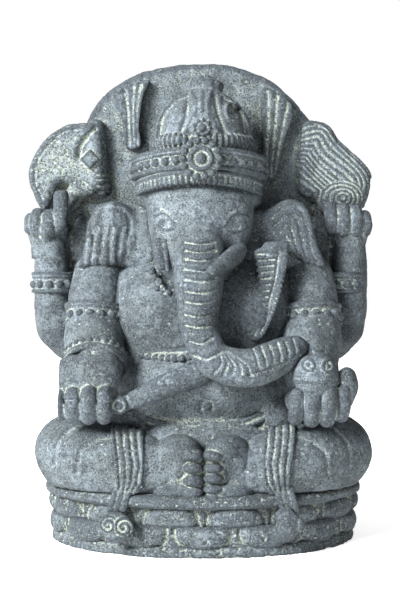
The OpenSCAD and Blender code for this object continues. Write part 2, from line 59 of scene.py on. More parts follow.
# ---------- common settings, sizes in mm ----------
stone = {
    "body": "#4f5759",  # weathered andesite
    "cool": "#636d75",  # cleaner stone, slightly blue
    "worn": "#333a40",  # high places that hands have rubbed dark; also painted shade in deep hollows and on the shaded pieces
    "dust_and_light": "#828a81",  # pale green lime dust left in the carving; also painted light on the lit pieces
    "pores_and_hollow_shade": "#1d2022",  # open pores
    "crystal": "#b4bab4",  # broken white crystals
    "noises": [(1.4, 2.5, 0.7), (8.0, 7.0, 0.8), (36.0, 5.0, 0.7)],  # size in mm, detail and roughness
    "roughness": 0.84,
}
dustiness = {"stone_base": 0.28, "stone_slab": 0.22, "stone_body": 0.0, "stone_ornament": 0.04}
shade_and_light_paint = {  # painted shade on pieces above nought, mostly on the right-hand side away from the key light; painted light on the few left-hand pieces below nought
    "foot_right": 0.4, "leg_right": 0.25, "ear_right": 0.5, "back_arm_right": 0.2, "chest": 0.3,
    "trunk": 0.2, "sash_tassel_left": -0.2, "front_hand_left": -0.15, "axe": -0.2,
}
coarse = 1.0
roomStep = 2.0
roomAxes = [np.arange(low, high, roomStep) for low, high in ((-162, 162), (-118, 118), (-8, 414))]
room = np.zeros([len(a) for a in roomAxes], bool)  # which cells of the statue's box are stone
made = []


# ---------- boxes and grids ----------
def boxOf(node):
    low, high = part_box(node)
    return np.array(low) * 1000, np.array(high) * 1000


def around(node, slot, step=1.0, spare=5.0):
    # a grid of points round one CAD node, measured from the middle of its box, and the finish it takes
    low, high = boxOf(node)
    step = step * coarse
    half = (high - low) / 2 + spare
    axes = [np.arange(-h, h + step, step, dtype=np.float32) for h in half]
    place = {"node": node, "slot": slot, "start": (low + high) / 2 - half, "step": step}
    return place, np.meshgrid(*axes, indexing="ij", sparse=True)


def smoothLine(points, spans=4, closed=False):
    # more points on a smooth line through the given ones
    points = np.array(points, float)
    if closed:
        ends = np.vstack([points[-1:], points, points[:2]])
    else:
        ends = np.vstack([2 * points[:1] - points[1:2], points, 2 * points[-1:] - points[-2:-1]])
    a, b, c, d = ends[:-3, None], ends[1:-2, None], ends[2:-1, None], ends[3:, None]
    t = np.linspace(0, 1, spans, endpoint=False)[None, :, None]
    line = b + 0.5 * t * (c - a + t * (2 * a - 5 * b + 4 * c - d + t * (3 * b - a - 3 * c + d)))
    line = line.reshape(-1, points.shape[1])
    return line if closed else np.vstack([line, points[-1:]])


# ---------- forms: each gives the distance to its surface, negative inside ----------
def turned2(x, z, degrees):
    c, s = math.cos(math.radians(degrees)), math.sin(math.radians(degrees))
    return x * c + z * s, z * c - x * s


def ball(p, centre, size, tilt=0, nod=0):
    # tilt turns it in the front view, nod turns it in the side view
    x, y, z = p[0] - centre[0], p[1] - centre[1], p[2] - centre[2]
    if tilt:
        x, z = turned2(x, z, tilt)
    if nod:
        y, z = turned2(y, z, nod)
    rx, ry, rz = (size, size, size) if np.isscalar(size) else size
    near = np.sqrt((x / rx) ** 2 + (y / ry) ** 2 + (z / rz) ** 2)
    slope = np.sqrt((x / rx**2) ** 2 + (y / ry**2) ** 2 + (z / rz**2) ** 2)
    return near * (near - 1) / np.maximum(slope, 1e-5)


def rod(p, points, radii, spans=3, squash=1.0):
    # round bar along a smooth line; also gives how far along the line each point lies
    if np.isscalar(radii):
        radii = [radii] * len(points)
    path = smoothLine([(*a, r) for a, r in zip(points, radii)], spans)
    best, along, gone = None, None, 0.0
    for a, b in zip(path[:-1], path[1:]):
        d = b[:3] - a[:3]
        length = float(np.sqrt(d @ d))
        x, y, z = p[0] - a[0], p[1] - a[1], p[2] - a[2]
        t = np.clip((x * d[0] + y * d[1] + z * d[2]) / length**2, 0, 1)
        away = np.sqrt((x - t * d[0]) ** 2 + ((y - t * d[1]) / squash) ** 2 + (z - t * d[2]) ** 2)
        away = away - (a[3] + t * (b[3] - a[3]))
        if best is None:
            best, along = away, gone + t * length
        else:
            along = np.where(away < best, gone + t * length, along)
            best = np.minimum(best, away)
        gone += length
    return best, along


def outline(x, z, points, spans=4):
    # distance in the front view from a smooth closed outline
    line = smoothLine(points, spans, closed=True)
    inside = np.zeros(np.broadcast(x, z).shape, bool)
    best = np.full(inside.shape, 1e9)
    for (ax, az), (bx, bz) in zip(line, np.roll(line, -1, axis=0)):
        dx, dz = bx - ax, bz - az
        t = np.clip(((x - ax) * dx + (z - az) * dz) / (dx * dx + dz * dz + 1e-9), 0, 1)
        best = np.minimum(best, (x - ax - t * dx) ** 2 + (z - az - t * dz) ** 2)
        if az != bz:
            inside ^= ((az > z) != (bz > z)) & (x < dx * (z - az) / dz + ax)
    return np.where(inside, -1, 1) * np.sqrt(best)


def plate(p, edge, front, back, rim):
    # upright plate with a rounded edge; edge is the distance from its outline
    d = edge + rim
    h = np.abs(p[1] - (front + back) / 2) - (back - front) / 2 + rim
    return np.minimum(np.maximum(d, h), 0) + np.sqrt(np.maximum(d, 0) ** 2 + np.maximum(h, 0) ** 2) - rim


def ovalAway(p, radius):
    near = np.sqrt((p[0] / radius[0]) ** 2 + (p[1] / radius[1]) ** 2)
    slope = np.sqrt((p[0] / radius[0] ** 2) ** 2 + (p[1] / radius[1] ** 2) ** 2)
    return near * (near - 1) / np.maximum(slope, 1e-5)


def lofted(p, rows, power=2.0):
    # upright form whose middle and half sizes change with height: rows of (z, x, y, half width, half depth)
    z, x, y, w, d = np.array(smoothLine(rows, 4)).T
    level = np.clip(p[2], z.min(), z.max())
    order = np.argsort(z)
    x, y, w, d = (np.interp(level, z[order], v[order]) for v in (x, y, w, d))
    a, b = np.abs(p[0] - x) / w + 1e-6, np.abs(p[1] - y) / d + 1e-6
    near = (a**power + b**power) ** (1 / power)
    slope = near ** (1 - power) * np.hypot(a ** (power - 1) / w, b ** (power - 1) / d)
    ends = np.maximum(p[2] - z.max(), z.min() - p[2])
    return np.maximum((near - 1) / np.maximum(slope, 1e-4), ends)


def join(a, b, soft=4.0):
    h = np.clip(0.5 + 0.5 * (b - a) / soft, 0, 1)
    return b + (a - b) * h - soft * h * (1 - h)


def carve(a, b, soft=1.5):
    return -join(-a, b, soft)


def lineAway(p, points, spans=4):
    # distance from a smooth line drawn on the front view
    line = smoothLine(points, spans)
    best = np.full(np.broadcast(p[0], p[2]).shape, 1e9)
    for (ax, az), (bx, bz) in zip(line[:-1], line[1:]):
        dx, dz = bx - ax, bz - az
        t = np.clip(((p[0] - ax) * dx + (p[2] - az) * dz) / (dx * dx + dz * dz + 1e-9), 0, 1)
        best = np.minimum(best, (p[0] - ax - t * dx) ** 2 + (p[2] - az - t * dz) ** 2)
    return np.sqrt(best)


def incise(field, p, lines, depth=1.2, width=1.2, back=1e9):
    # V cuts along lines of the front view, only in front of the depth called back
    cut = 0
    for line in lines:
        cut = np.maximum(cut, np.exp(-((lineAway(p, line) / width) ** 2)))
    return field + depth * cut * (p[1] < back)


def beads(p, points, radius):
    best = None
    for c in points:
        d = ball(p, c, radius)
        best = d if best is None else np.minimum(best, d)
    return best


def ovalPoints(radius, count, height=0.0, low=0.0, high=360.0):
    a = np.radians(np.linspace(low, high, count, endpoint=(high - low) < 359))
    return [(radius[0] * math.cos(t), radius[1] * math.sin(t), height) for t in a]


def mirrored(p, side):
    # x counted outwards from the middle of the statue on either side
    return p[0] * side, p[1], p[2]


# ---------- from a field to a worn stone surface ----------
def grit(points, size, seed):
    # smooth random numbers between minus one and one, the same at every run
    q = points / size
    i = np.floor(q).astype(np.int64)
    f = q - i
    f = f * f * (3 - 2 * f)
    total = 0
    for corner in range(8):
        o = np.array([corner & 1, corner >> 1 & 1, corner >> 2])
        c = i + o
        h = (c[:, 0] * 374761393 + c[:, 1] * 668265263 + c[:, 2] * 1274126177 + seed * 97531) & 0xFFFFFFFF
        h = ((h ^ (h >> 13)) * 1103515245) & 0xFFFFFFFF
        h = ((h ^ (h >> 16)) & 0xFFFF) / 32767.5 - 1
        total = total + h * np.prod(np.where(o, f, 1 - f), axis=1)
    return total


def around4(faces):
    return faces.ravel(), np.roll(faces, -1, axis=1).ravel()


def relaxed(values, faces, times):
    # mean of the neighbours, taken a number of times
    here, there = around4(faces)
    count = np.maximum(np.bincount(here, minlength=len(values)), 1)
    for _ in range(times):
        columns = [np.bincount(here, v[there], len(values)) / count for v in values.T]
        values = np.stack(columns, axis=1)
    return values


def normalsOf(points, faces):
    a, b, c, d = (points[faces[:, k]] for k in range(4))
    n = np.cross(c - a, d - b)
    total = np.stack([np.bincount(faces.ravel(), np.repeat(v, 4), len(points)) for v in n.T], axis=1)
    return total / np.maximum(np.linalg.norm(total, axis=1, keepdims=True), 1e-9)


def weather(points, faces, wear):
    # dents, chips and pits of hand work and of age
    normals = normalsOf(points, faces)
    push = 0.40 * grit(points, 17, 1) + 0.28 * grit(points, 6.5, 2) + 0.20 * grit(points, 2.6, 3)
    pits = np.clip(grit(points, 3.4, 4) - 0.45, 0, 1) * 1.6 + np.clip(grit(points, 9, 5) - 0.5, 0, 1) * 1.5
    points = points + normals * (wear * (push - pits))[:, None]
    normals = normalsOf(points, faces)
    near = relaxed(points, faces, 3)
    wide = relaxed(near, faces, 10)
    cell = np.mean(np.sum((points[faces[:, 0]] - points[faces[:, 1]]) ** 2, axis=1))
    fine = np.einsum("ij,ij->i", near - points, normals) / cell  # the same for large and small cells
    broad = np.einsum("ij,ij->i", wide - points, normals)
    return points, normals, fine, broad


def keep(node, slot, points, faces, wear=1.0):
    points, normals, fine, broad = weather(points, faces, wear)
    points[:, 2] = np.maximum(points[:, 2], 0)  # nothing reaches below the floor
    made.append({"node": node, "slot": slot, "points": points, "faces": faces, "up": normals[:, 2],
                 "fine": fine, "broad": broad})


def shape(place, field, wear):
    # skin the zero surface of the field with quads
    step = place["step"]
    field = np.clip(field, -4 * step, 4 * step).astype(np.float32)
    for axis in range(3):
        edge = np.moveaxis(field, axis, 0)
        edge[0] = np.maximum(edge[0], step)
        edge[-1] = np.maximum(edge[-1], step)
    grid = openvdb.FloatGrid(4 * step)
    grid.copyFromArray(field)
    points, faces = grid.convertToQuads(0.0)
    points = points * step + place["start"]
    faces = faces.astype(np.int64)
    a, b, c, d = (points[faces[:, k]] for k in range(4))
    if np.einsum("ij,ij->", a, np.cross(b, c) + np.cross(c, d)) < 0:
        faces = faces[:, ::-1]
    spots, there = [], []
    for axis in range(3):
        i = np.rint((roomAxes[axis] - place["start"][axis]) / step).astype(int)
        ok = (i >= 0) & (i < field.shape[axis])
        spots.append(i[ok])
        there.append(np.nonzero(ok)[0])
    room[np.ix_(*there)] |= field[np.ix_(*spots)] < 0
    keep(place["node"], place["slot"], points, faces, wear)


# ---------- the oval base: rows of (turn, height) ----------
base = {
    "columns": 860,
    "rows": 26,
    "petals": 14,
    "puff": 8.0,  # how far a petal swells out
}


def ovalRow(node, slot, outward, topDome=0.0, wear=1.0, drop=0.0):
    # skin of an oval drum: outward(s, v) is how far the side stands out at turn s and height v
    low, high = boxOf(node)
    low[2] -= drop
    rx, ry = (high - low)[:2] / 2
    fine = np.linspace(0, 2 * np.pi, 4001)
    length = np.cumsum(np.hypot(rx * np.sin(fine), ry * np.cos(fine)))
    turn = np.interp(np.arange(base["columns"]) / base["columns"] * length[-1], length, fine)
    s = np.arange(base["columns"]) / base["columns"]  # a share of the way round, by length
    v = np.linspace(0, 1, base["rows"])
    out = outward(s[:, None], v[None, :]) + 0 * s[:, None]
    nx, ny = np.cos(turn) / rx, np.sin(turn) / ry
    size = np.hypot(nx, ny)
    x = rx * np.cos(turn)[:, None] + out * (nx / size)[:, None]
    y = ry * np.sin(turn)[:, None] + out * (ny / size)[:, None]
    z = np.repeat((low[2] + v * (high - low)[2])[None, :], len(s), axis=0)
    shares = np.array([0.93, 0.8, 0.6, 0.35, 0.12])  # rings of the flat ends
    floor = [(x[:, :1] * k, y[:, :1] * k, z[:, :1]) for k in shares[::-1]]
    roof = [(x[:, -1:] * k, y[:, -1:] * k, z[:, -1:] + topDome * (1 - k**2)) for k in shares]
    x, y, z = (np.hstack([f[i] for f in floor] + [(x, y, z)[i]] + [r[i] for r in roof]) for i in range(3))
    points = np.stack([x, y, z], axis=2).reshape(-1, 3)
    columns, rows = x.shape
    c, r = np.meshgrid(np.arange(columns), np.arange(rows - 1), indexing="ij")
    n = (c + 1) % columns
    faces = np.stack([c * rows + r, n * rows + r, n * rows + r + 1, c * rows + r + 1], axis=2).reshape(-1, 4)
    lowPole, highPole = len(points), len(points) + 1
    points = np.vstack([points, [0, 0, low[2]], [0, 0, high[2] + topDome]])
    k = np.arange(0, columns, 2)  # the poles close with quads, two columns at a time
    k1, k2 = (k + 1) % columns, (k + 2) % columns
    floorFan = np.stack([k2 * rows, k1 * rows, k * rows, np.full(len(k), lowPole)], axis=1)
    roofFan = np.stack([k * rows, k1 * rows, k2 * rows, np.full(len(k), highPole - rows + 1)], axis=1)
    roofFan = roofFan + rows - 1
    faces = np.vstack([faces, floorFan, roofFan])
    gx, gy, gz = np.meshgrid(*roomAxes, indexing="ij", sparse=True)
    room[...] |= ((gx / (rx - 3)) ** 2 + (gy / (ry - 3)) ** 2 < 1) & (gz > low[2]) & (gz < high[2])
    keep(node, slot, points + [*((low + high)[:2] / 2), 0], faces, wear)


def petalRow(s, shift, up):
    # cushions between small flared fillers; up is the share of the height counted from a petal's root
    u = (s * base["petals"] + shift) % 1 * 2 - 1
    number = np.floor(s * base["petals"] + shift)
    lean = 0.04 * np.sin(number * 2.4)
    half = (0.9 + lean) * np.clip(1 - up**3.4, 0, 1) ** 0.5
    across = np.clip(np.abs(u) / np.maximum(half, 1e-3), 0, 1)
    dome = (1 - across**2.8) ** 0.5
    lift = np.sqrt(np.clip(1 - (1.86 * (up - 0.48)) ** 2, 0, 1))
    puff = base["puff"] * (1 + 0.1 * np.sin(number * 4.1))
    leaf = np.exp(-(((np.abs(u) - 1) / (0.06 + 0.22 * up)) ** 2)) * 4.6 * (1 - 0.5 * up)
    return np.where(np.abs(u) < half, np.maximum(puff * dome * lift, leaf - 1.5), leaf) - base["puff"]


def makeBase():
    ovalRow("plinth", "stone_base", lambda s, v: -0.6 * (1 - v) ** 3 - 4.0 * v**3, wear=1.8)
    ovalRow("lower_lotus", "stone_base", lambda s, v: petalRow(s, 0.0, 1 - v), wear=1.1, drop=3.5)
    ovalRow("upper_lotus", "stone_base", lambda s, v: petalRow(s, 0.5, v), wear=1.1, drop=1.5)
    ovalRow("lotus_seat", "stone_base",
            lambda s, v: -6.5 * np.abs(2 * v - 1.0) ** 3 - 1.0 * np.exp(-(((v - 0.12) / 0.06) ** 2)),
            topDome=1.5, wear=1.2, drop=2.5)
    print("base rows made")


# ---------- the arched slab behind ----------
slab = {
    "edge": [(-117, -176), (-117.5, -80), (-119, 0), (-126, 30), (-127, 60), (-117, 84), (-104, 116),
             (-98, 131),
             (-86, 148.5), (-70, 160.5), (-50, 170.5), (-22, 175.5), (-2, 176.5), (21, 175.5), (42, 169.5),
             (64, 158.5), (80, 143.5), (92, 128), (104, 106), (116, 80), (124, 55), (124, 30), (118, 0),
             (117.5, -80), (117, -176), (0, -178)],
    "behind": [(-86, -178), (-95, -120), (-90, -60), (-78, 15), (78, 15), (90, -60), (95, -120), (86, -178)],
    "depth": (-27, 21.5),  # front and back of the slab
    "behindDepth": (-38, 0),  # the block that meets the hips
    "rimLine": 7,  # the thin line that runs inside the arch
    "oval": (129, 101.5),  # the back keeps to the base's oval
}
ribbons = {
    "halo_ribbon_left": {
        "edge": [(9, 29), (5, 16), (2, 2), (1, -14), (2, -29), (-11, -29), (-14, -8), (-20, 14), (-14, 22)],
        "folds": [[(-12, 20), (-9, 0), (-8, -28)], [(-4, 26), (-5, 4), (-4, -28)], [(3, 28), (-1, 8),
                                                                                    (-1, -28)]],
    },
    "halo_ribbon_right": {
        "edge": [(-15, 41), (-4, 41), (9, 33), (12, 19), (5, -4), (-1, -32), (-14, -34), (-14, -2)],
        "folds": [[(-9, 40), (-9, 10), (-10, -32)], [(-1, 40), (-3, 12), (-6, -32)], [(8, 30), (3, 6),
                                                                                      (-3, -30)]],
    },
}


def makeSlab():
    place, p = around("back_slab", "stone_slab", 1.8, spare=18)
    edge = outline(p[0], p[2], slab["edge"])
    body = plate(p, edge, *slab["depth"], 4)
    body = body + 0.5 * np.exp(-(((edge + slab["rimLine"]) / 2.6) ** 2)) * (p[1] < 0) * (p[2] > 60)
    body = join(body, plate(p, outline(p[0], p[2], slab["behind"]), *slab["behindDepth"], 6), 6)
    low, high = boxOf("back_slab")
    middle = (low[1] + high[1]) / 2
    body = -join(-body, -ovalAway((p[0], p[1] + middle, p[2]), slab["oval"]), 8)
    shape(place, body, 1.3)
    for node, r in ribbons.items():
        place, p = around(node, "stone_slab", 0.9, spare=14)
        field = plate(p, outline(p[0], p[2], r["edge"]), -13, 8, 2.2)
        field = incise(field, p, r["folds"], depth=1.3, width=1.7)
        shape(place, field, 0.8)
    print("slab made")


# ---------- what the back hands hold ----------
axe = {
    "edge": [(-22, -29), (-31, -8), (-30.5, 8), (-20, 27), (-3, 40), (15, 43), (26, 39), (29, 27), (30, 9),
             (31, -7), (24, -16), (15, -19), (8, -14), (3, -8), (-3, -6), (-10, -12), (-13, -22), (-17, -31)],
    "crescent": [(24, 38), (17, 31), (12, 23), (11, 14)],
    "bevel": [(-20, -22), (-26, -8), (-25, 8), (-16, 23), (-2, 35), (12, 38)],
    "boss": (20, 12, 6.5),
    "knot": [[(26, -1), (40, 0)], [(26, -5), (40, -4)], [(26, -10), (40, -9)], [(26, -15), (38, -15)]],
}
whisk = {
    "edge": [(-25, 35.5), (-12, 36.5), (-2, 30.5), (5, 19.5), (22, 4.5), (31, -6.5), (32, -15.5), (28, -29.5),
             (20, -39), (5, -37), (-9, -31), (-27, -27), (-29, -14), (-28, 12)],
    "bulb": (7, -30),
    "upper": [(-30, 37), (-12, 36.5), (-2, 30.5), (5, 19.5), (22, 4.5), (31, -6.5), (34, -20), (30, -34)],
    "hair": 4.2,  # from one lock to the next
    "hollow": (-13, -6),
}


def makeHeldUp():
    place, p = around("axe", "stone_slab", 0.9, spare=7)
    edge = outline(p[0], p[2], axe["edge"])
    field = plate(p, edge, -7.5, 15, 5)
    field = field - 1.2 * np.clip(1 + edge / 10, 0, 1) * (p[1] < 0) + 0.4
    field = join(field, rod(p, [(24, 5, 40), (27, 5, 10), (29, 5, -12)], 8, squash=1.2)[0], 3)
    field = join(field, rod(p, [(6, 2, -14), (-3, 0, -30), (-9, -3, -46)], 6.5)[0], 3)
    field = join(field, ball(p, (-3, 9, -18), (17, 6, 15)), 2)  # stone left in the notch
    field = incise(field, p, [axe["crescent"]], depth=3.4, width=2.0, back=4)
    field = incise(field, p, [axe["bevel"]], depth=0.8, width=1.1, back=4)
    field = incise(field, p, axe["knot"], depth=1.2, width=1.0, back=4)
    bx, bz, half = axe["boss"]
    square = np.abs(p[0] - bx) + np.abs(p[2] - bz) - half * 1.35
    field = join(field, plate(p, square * 0.707, -11.5, 0, 1.2), 0.8)
    shape(place, field, 0.9)

    place, p = around("fly_whisk", "stone_slab", 0.8, spare=8)
    edge = outline(p[0], p[2], whisk["edge"])
    field = plate(p, edge, -6.5, 12, 7)
    swell = ball(p, (whisk["bulb"][0], 1, whisk["bulb"][1]), (22, 13, 17), tilt=15)
    field = join(field, swell, 4)
    away = np.hypot(p[0] - whisk["bulb"][0], 1.25 * (p[2] - whisk["bulb"][1]))
    flow = lineAway(p, whisk["upper"]) + 1.6 * np.sin(p[0] / 7 + p[2] / 9)
    share = np.clip((away - 17) / 5, 0, 1)
    locks = share * np.cos(2 * np.pi * flow / whisk["hair"])
    locks = locks + (1 - share) * np.cos(2 * np.pi * (away + 0.12 * p[0]) / whisk["hair"])
    field = field - 0.5 * locks * (p[1] < 4)
    hx, hz = whisk["hollow"]
    field = field + 3.2 * np.exp(-((p[0] - hx) ** 2 + (p[2] - hz) ** 2) / 50) * (p[1] < 0)
    shape(place, field, 0.7)
    print("axe and whisk made")


# ---------- back arms ----------
backArm = {
    "edge": [(36, 5), (36, -9), (32, -25), (25, -42), (14, -53), (-5, -48), (-25, -23), (-35, 17), (-34, 48),
             (-14, 68), (2, 68), (10, 56), (33, 50), (37, 24)],
    "upper": [(-24, 4, 6), (2, 2, -34), (14, 0, -28), (20, -4, -8)],
    "upperRadius": [16, 17, 18, 16],
    "wall": -1,  # how far forward the stone between the arm and the ear comes
    "creases": [[(9, 72), (6, 40), (4, 20), (0, 0), (-4, -20)], [(-6, 74), (-9, 50), (-13, 30)]],
    "fore": [(20, -6, -26), (22, -7, 0), (23, -6, 26), (24, -4, 48)],
    "foreRadius": [15, 15, 14.5, 12],
}
backFingers = {  # x outwards, y, z of each joint line, with its radius
    "back_hand_left": [
        ([(-9, -6, 24), (-9, -9, 14), (-9, -9, 8)], 6.6), ([(-9, -10, 5), (-8, -9, -1)], 6.0),
        ([(1, -9, 5), (1, -11, -2), (2, -9, -7)], 6.2), ([(2, -8, -9), (3, -5, -12)], 5.6),
        ([(10.5, -6, 8), (11, -8, 0), (10, -5, -6)], 6.2), ([(17, -1, 5), (17, -2, -3)], 5.4)],
    "back_hand_right": [
        ([(-13, -6, 14), (-13, -10, 6), (-12, -8, -2)], 5.9), ([(-2.5, -7, 13), (-2, -11, 2), (-2, -9, -5)],
                                                               6.0),
        ([(7.5, -6, 11), (8, -10, 1), (8, -8, -5)], 6.0), ([(16, -2, 7), (17, -5, 0), (16, -3, -5)], 5.4)],
}


def studRing(p, radius, height, studs, studSize, ridge=1.7, tilt=0, nod=0):
    # a band round a limb: raised lines above and below a row of round studs
    x, y, z = p
    if nod:
        y, z = turned2(y, z, nod)
    if tilt:
        x, z = turned2(x, z, tilt)
    q = (x, y, z)
    out = ovalAway(q, radius)
    band = np.maximum(np.abs(out + 3) - 3, np.abs(z) - height)
    for level in (height, height * 0.62, -height):
        thick = ridge * (0.75 if level == height * 0.62 else 1)
        line = np.sqrt(np.maximum(out, -1) ** 2 + (z - level) ** 2) - thick
        band = join(band, np.maximum(line, -out - 5), 0.6)
    band = join(band, beads(q, ovalPoints(radius, studs, -height * 0.22), studSize), 0.5)
    return band


def makeBackArms():
    for side, name in ((-1, "left"), (1, "right")):
        place, p = around("back_arm_" + name, "stone_body", 1.2, spare=32)
        q = mirrored(p, side)
        edge = outline(q[0], q[2], backArm["edge"])
        field = plate(q, edge, backArm["wall"], 34, 10)
        field = join(field, rod(q, backArm["upper"], backArm["upperRadius"])[0], 6)
        field = join(field, rod(q, backArm["fore"], backArm["foreRadius"])[0], 5)
        field = incise(field, q, backArm["creases"], depth=2.2, width=2.4, back=8)
        shape(place, field, 1.0)

        place, p = around("back_armlet_" + name, "stone_body", 0.9, spare=4)
        q = mirrored(p, side)
        q = (q[0] - 2.5, q[1] + 4, q[2])
        field = studRing(q, (17.5, 17), 7.2, 13, 3.3)
        shape(place, field, 0.7)

        place, p = around("back_hand_" + name, "stone_body", 0.8, spare=10)
        q = mirrored(p, side)
        field = ball(q, (3, 4, -2), (17, 9, 16))
        field = join(field, rod(q, [(6, 2, -26), (5, 3, -8)], [11, 13])[0], 6)
        for joints, radius in backFingers["back_hand_" + name]:
            field = join(field, rod(q, joints, radius)[0], 1.1)
        shape(place, field, 0.7)
    print("back arms made")


# ---------- trunk of the body ----------
torso = {
    "belly": ((0, 0, 19), (72, 54, 44)),
    "hips": ((0, 6, -30), (76, 46, 34)),
    "lap": ((0, -32, -34), (64, 27, 29)),
    "flanks": [((-60, -20, -8), (19, 22, 19)), ((60, -20, -8), (19, 22, 19))],
    "navel": [(-2, 1), (-2, 6), (2, 9), (6, 6), (6, 1)],
    "lapLines": [[(-45, -18), (-20, -13), (0, -12), (22, -13), (46, -16)],
                 [(-42, -24), (-38, -40), (-40, -56)], [(41, -24), (37, -40), (39, -56)]],
    "chest": [(46, 0, 10, 34, 16), (38, 0, 8, 60, 25), (26, 0, 5, 73, 34), (8, 0, 2, 76, 42),
              (-12, 0, 0, 75, 46),
              (-32, 0, 0, 72, 47), (-46, 0, 0, 68, 46)],
    "breasts": [((-37, -18, -6), (30, 31, 34)), ((38, -18, -6), (30, 29, 34))],
}


def makeTorso():
    place, p = around("belly", "stone_body", 1.25, spare=6)
    field = join(ball(p, *torso["belly"]), ball(p, *torso["hips"]), 10)
    for centre, size in [torso["lap"], *torso["flanks"]]:
        field = join(field, ball(p, centre, size), 6)
    field = np.maximum(field, -62 - p[2])
    field = incise(field, p, [torso["navel"]], depth=2.6, width=1.5, back=0)
    field = incise(field, p, torso["lapLines"], depth=1.0, width=1.3, back=0)
    shape(place, field, 1.0)

    place, p = around("chest", "stone_body", 1.15, spare=7)
    field = lofted(p, torso["chest"], 2.6)
    for centre, size in torso["breasts"]:
        field = join(field, ball(p, centre, size), 12)
    shape(place, field, 1.0)

    place, p = around("belly_belt", "stone_ornament", 0.9, spare=6)
    path = np.array([(-61, 10, 1), (-40, -1, -6), (-16, -7, -9.5), (2, -8.5, -10), (25, -6, -7.5),
                     (45, 0, -1),
                     (60, 8, 6)], float)
    field = rod(p, path, 2.0)[0]
    field = join(field, rod(p, path + [0, -1.5, -5.5], 2.2)[0], 1.0)
    field = join(field, rod(p, path + [0, 2.0, -3], 3.2)[0], 1.0)
    shape(place, field, 0.6)

    place, p = around("chest_band", "stone_ornament", 0.8, spare=5)
    path = np.array([(-22, 13, 0), (-11, 4, -1), (0, -2, -2), (10, -8, -2), (21, -13, -1)], float)
    field = join(rod(p, path + [0, 2, 5.5], 1.5)[0], rod(p, path + [0, 3, 0], 4.0)[0], 1.5)
    spots = smoothLine(path, 2)[1:-1:1]
    field = join(field, beads(p, spots + [0, -1.5, -1], 3.4), 0.6)
    field = join(field, beads(p, smoothLine(path, 3) + [0, -0.5, -6], 1.7), 0.6)
    shape(place, field, 0.6)

    place, p = around("sacred_thread", "stone_ornament", 0.8, spare=6)
    lean = p[1] - 0.12 * p[2]  # the strap leans back towards the shoulder
    q = (p[0], lean, p[2])
    edge = outline(p[0], p[2], [(-9, 34), (5, 37), (17, 33), (16, 20), (11, 2), (6, -14), (1, -28), (-4, -37),
                                (-14, -38), (-20, -28), (-18, -17), (-9, -11), (-7, 6), (-9, 22)])
    field = plate(q, edge, -2.6, 12, 3)
    steps = [[(-8 + k * 0.3, 30.5 - 5 * k), (7 - k * 1.0, 31.5 - 5 * k)] for k in range(9)]
    field = incise(field, p, steps, depth=1.9, width=1.15)
    field = incise(field, p, [[(10, 34), (7, 12), (2, -8), (-3, -26)]], depth=1.8, width=1.5)
    swirl = [[(-17, -16), (-7, -13), (-1, -20), (-5, -32)], [(-17, -22), (-10, -19), (-7, -26), (-10, -34)],
             [(-15, -28), (-12, -27), (-12, -32)]]
    field = incise(field, p, swirl, depth=1.5, width=1.3)
    border = smoothLine([(16, 2, 30), (12.5, -1, 14), (9, -3, -3), (4, -3, -18), (-3, -3, -32)], 4)
    field = join(field, beads(q, border, 1.9), 1.2)
    field = join(field, ball(q, (7, 1, 36), (12, 6, 7), tilt=12), 1.5)  # the knot on the shoulder
    shape(place, field, 0.6)

    place, p = around("bead_string", "stone_ornament", 0.8, spare=5)
    field = rod(p, [(-7, 1, 15), (-3, 0, 6), (3, 0, -2), (8, 1, -13)], 2.6)[0]
    spots = [(-7, -1, 13), (-5, -1, 8), (-1, -2, 5), (-3, -2, 0), (2, -2, -1), (6, -2, -4), (3, -2, -7),
             (8, -1, -9),
             (5, -1, -13)]
    field = join(field, beads(p, spots, 2.9), 0.6)
    field = carve(field, beads(p, [(-1, -5.2, 5), (2, -5.2, -1)], 1.3), 0.4)
    shape(place, field, 0.5)
    print("torso made")


# ---------- legs, feet and sashes; x counts outwards from the middle ----------
leg = {
    "thigh": [(-42, 44, 0), (-8, 22, 2), (26, -4, 0)],
    "thighRadius": [18, 25, 27],
    "shin": [(26, -8, 0), (6, -26, -1), (-22, -36, -3), (-48, -40, -8)],
    "shinRadius": [27, 27, 24, 17],
    "apron": [(34, -8, -19), (24, -26, -19), (2, -40, -19), (-24, -50, -19),
              (-50, -48, -19)],  # stone under the shin
    "folds": [[(-16, 22), (8, 24), (24, 19), (33, 8), (35, -8)], [(-16, 16), (2, 13), (14, 4), (17, -12)]],
}
foot = {
    "foot_left": [(8, 4.6), (-1.5, 4.6), (-11, 4.9), (-21, 5.4)],  # height and half height of each toe
    "foot_right": [(8, 4.6), (-1.5, 4.2), (-9.5, 4.0), (-17.5, 4.0), (-24, 3.6)],
}
sash = {
    "levels": [-24, -14, 0, 14, 26],  # heights
    "middle": [0, -2, -2, 0, 2],
    "narrow": [0.55, 0.8, 1.0, 1.0, 1.0],
    "pitch": 5.4,
}


def legForm(q):
    field = join(rod(q, leg["thigh"], leg["thighRadius"])[0], rod(q, leg["shin"], leg["shinRadius"])[0], 12)
    apron = rod(q, leg["apron"], 9)[0]
    return np.maximum(join(field, apron, 8), -27.2 - q[2])


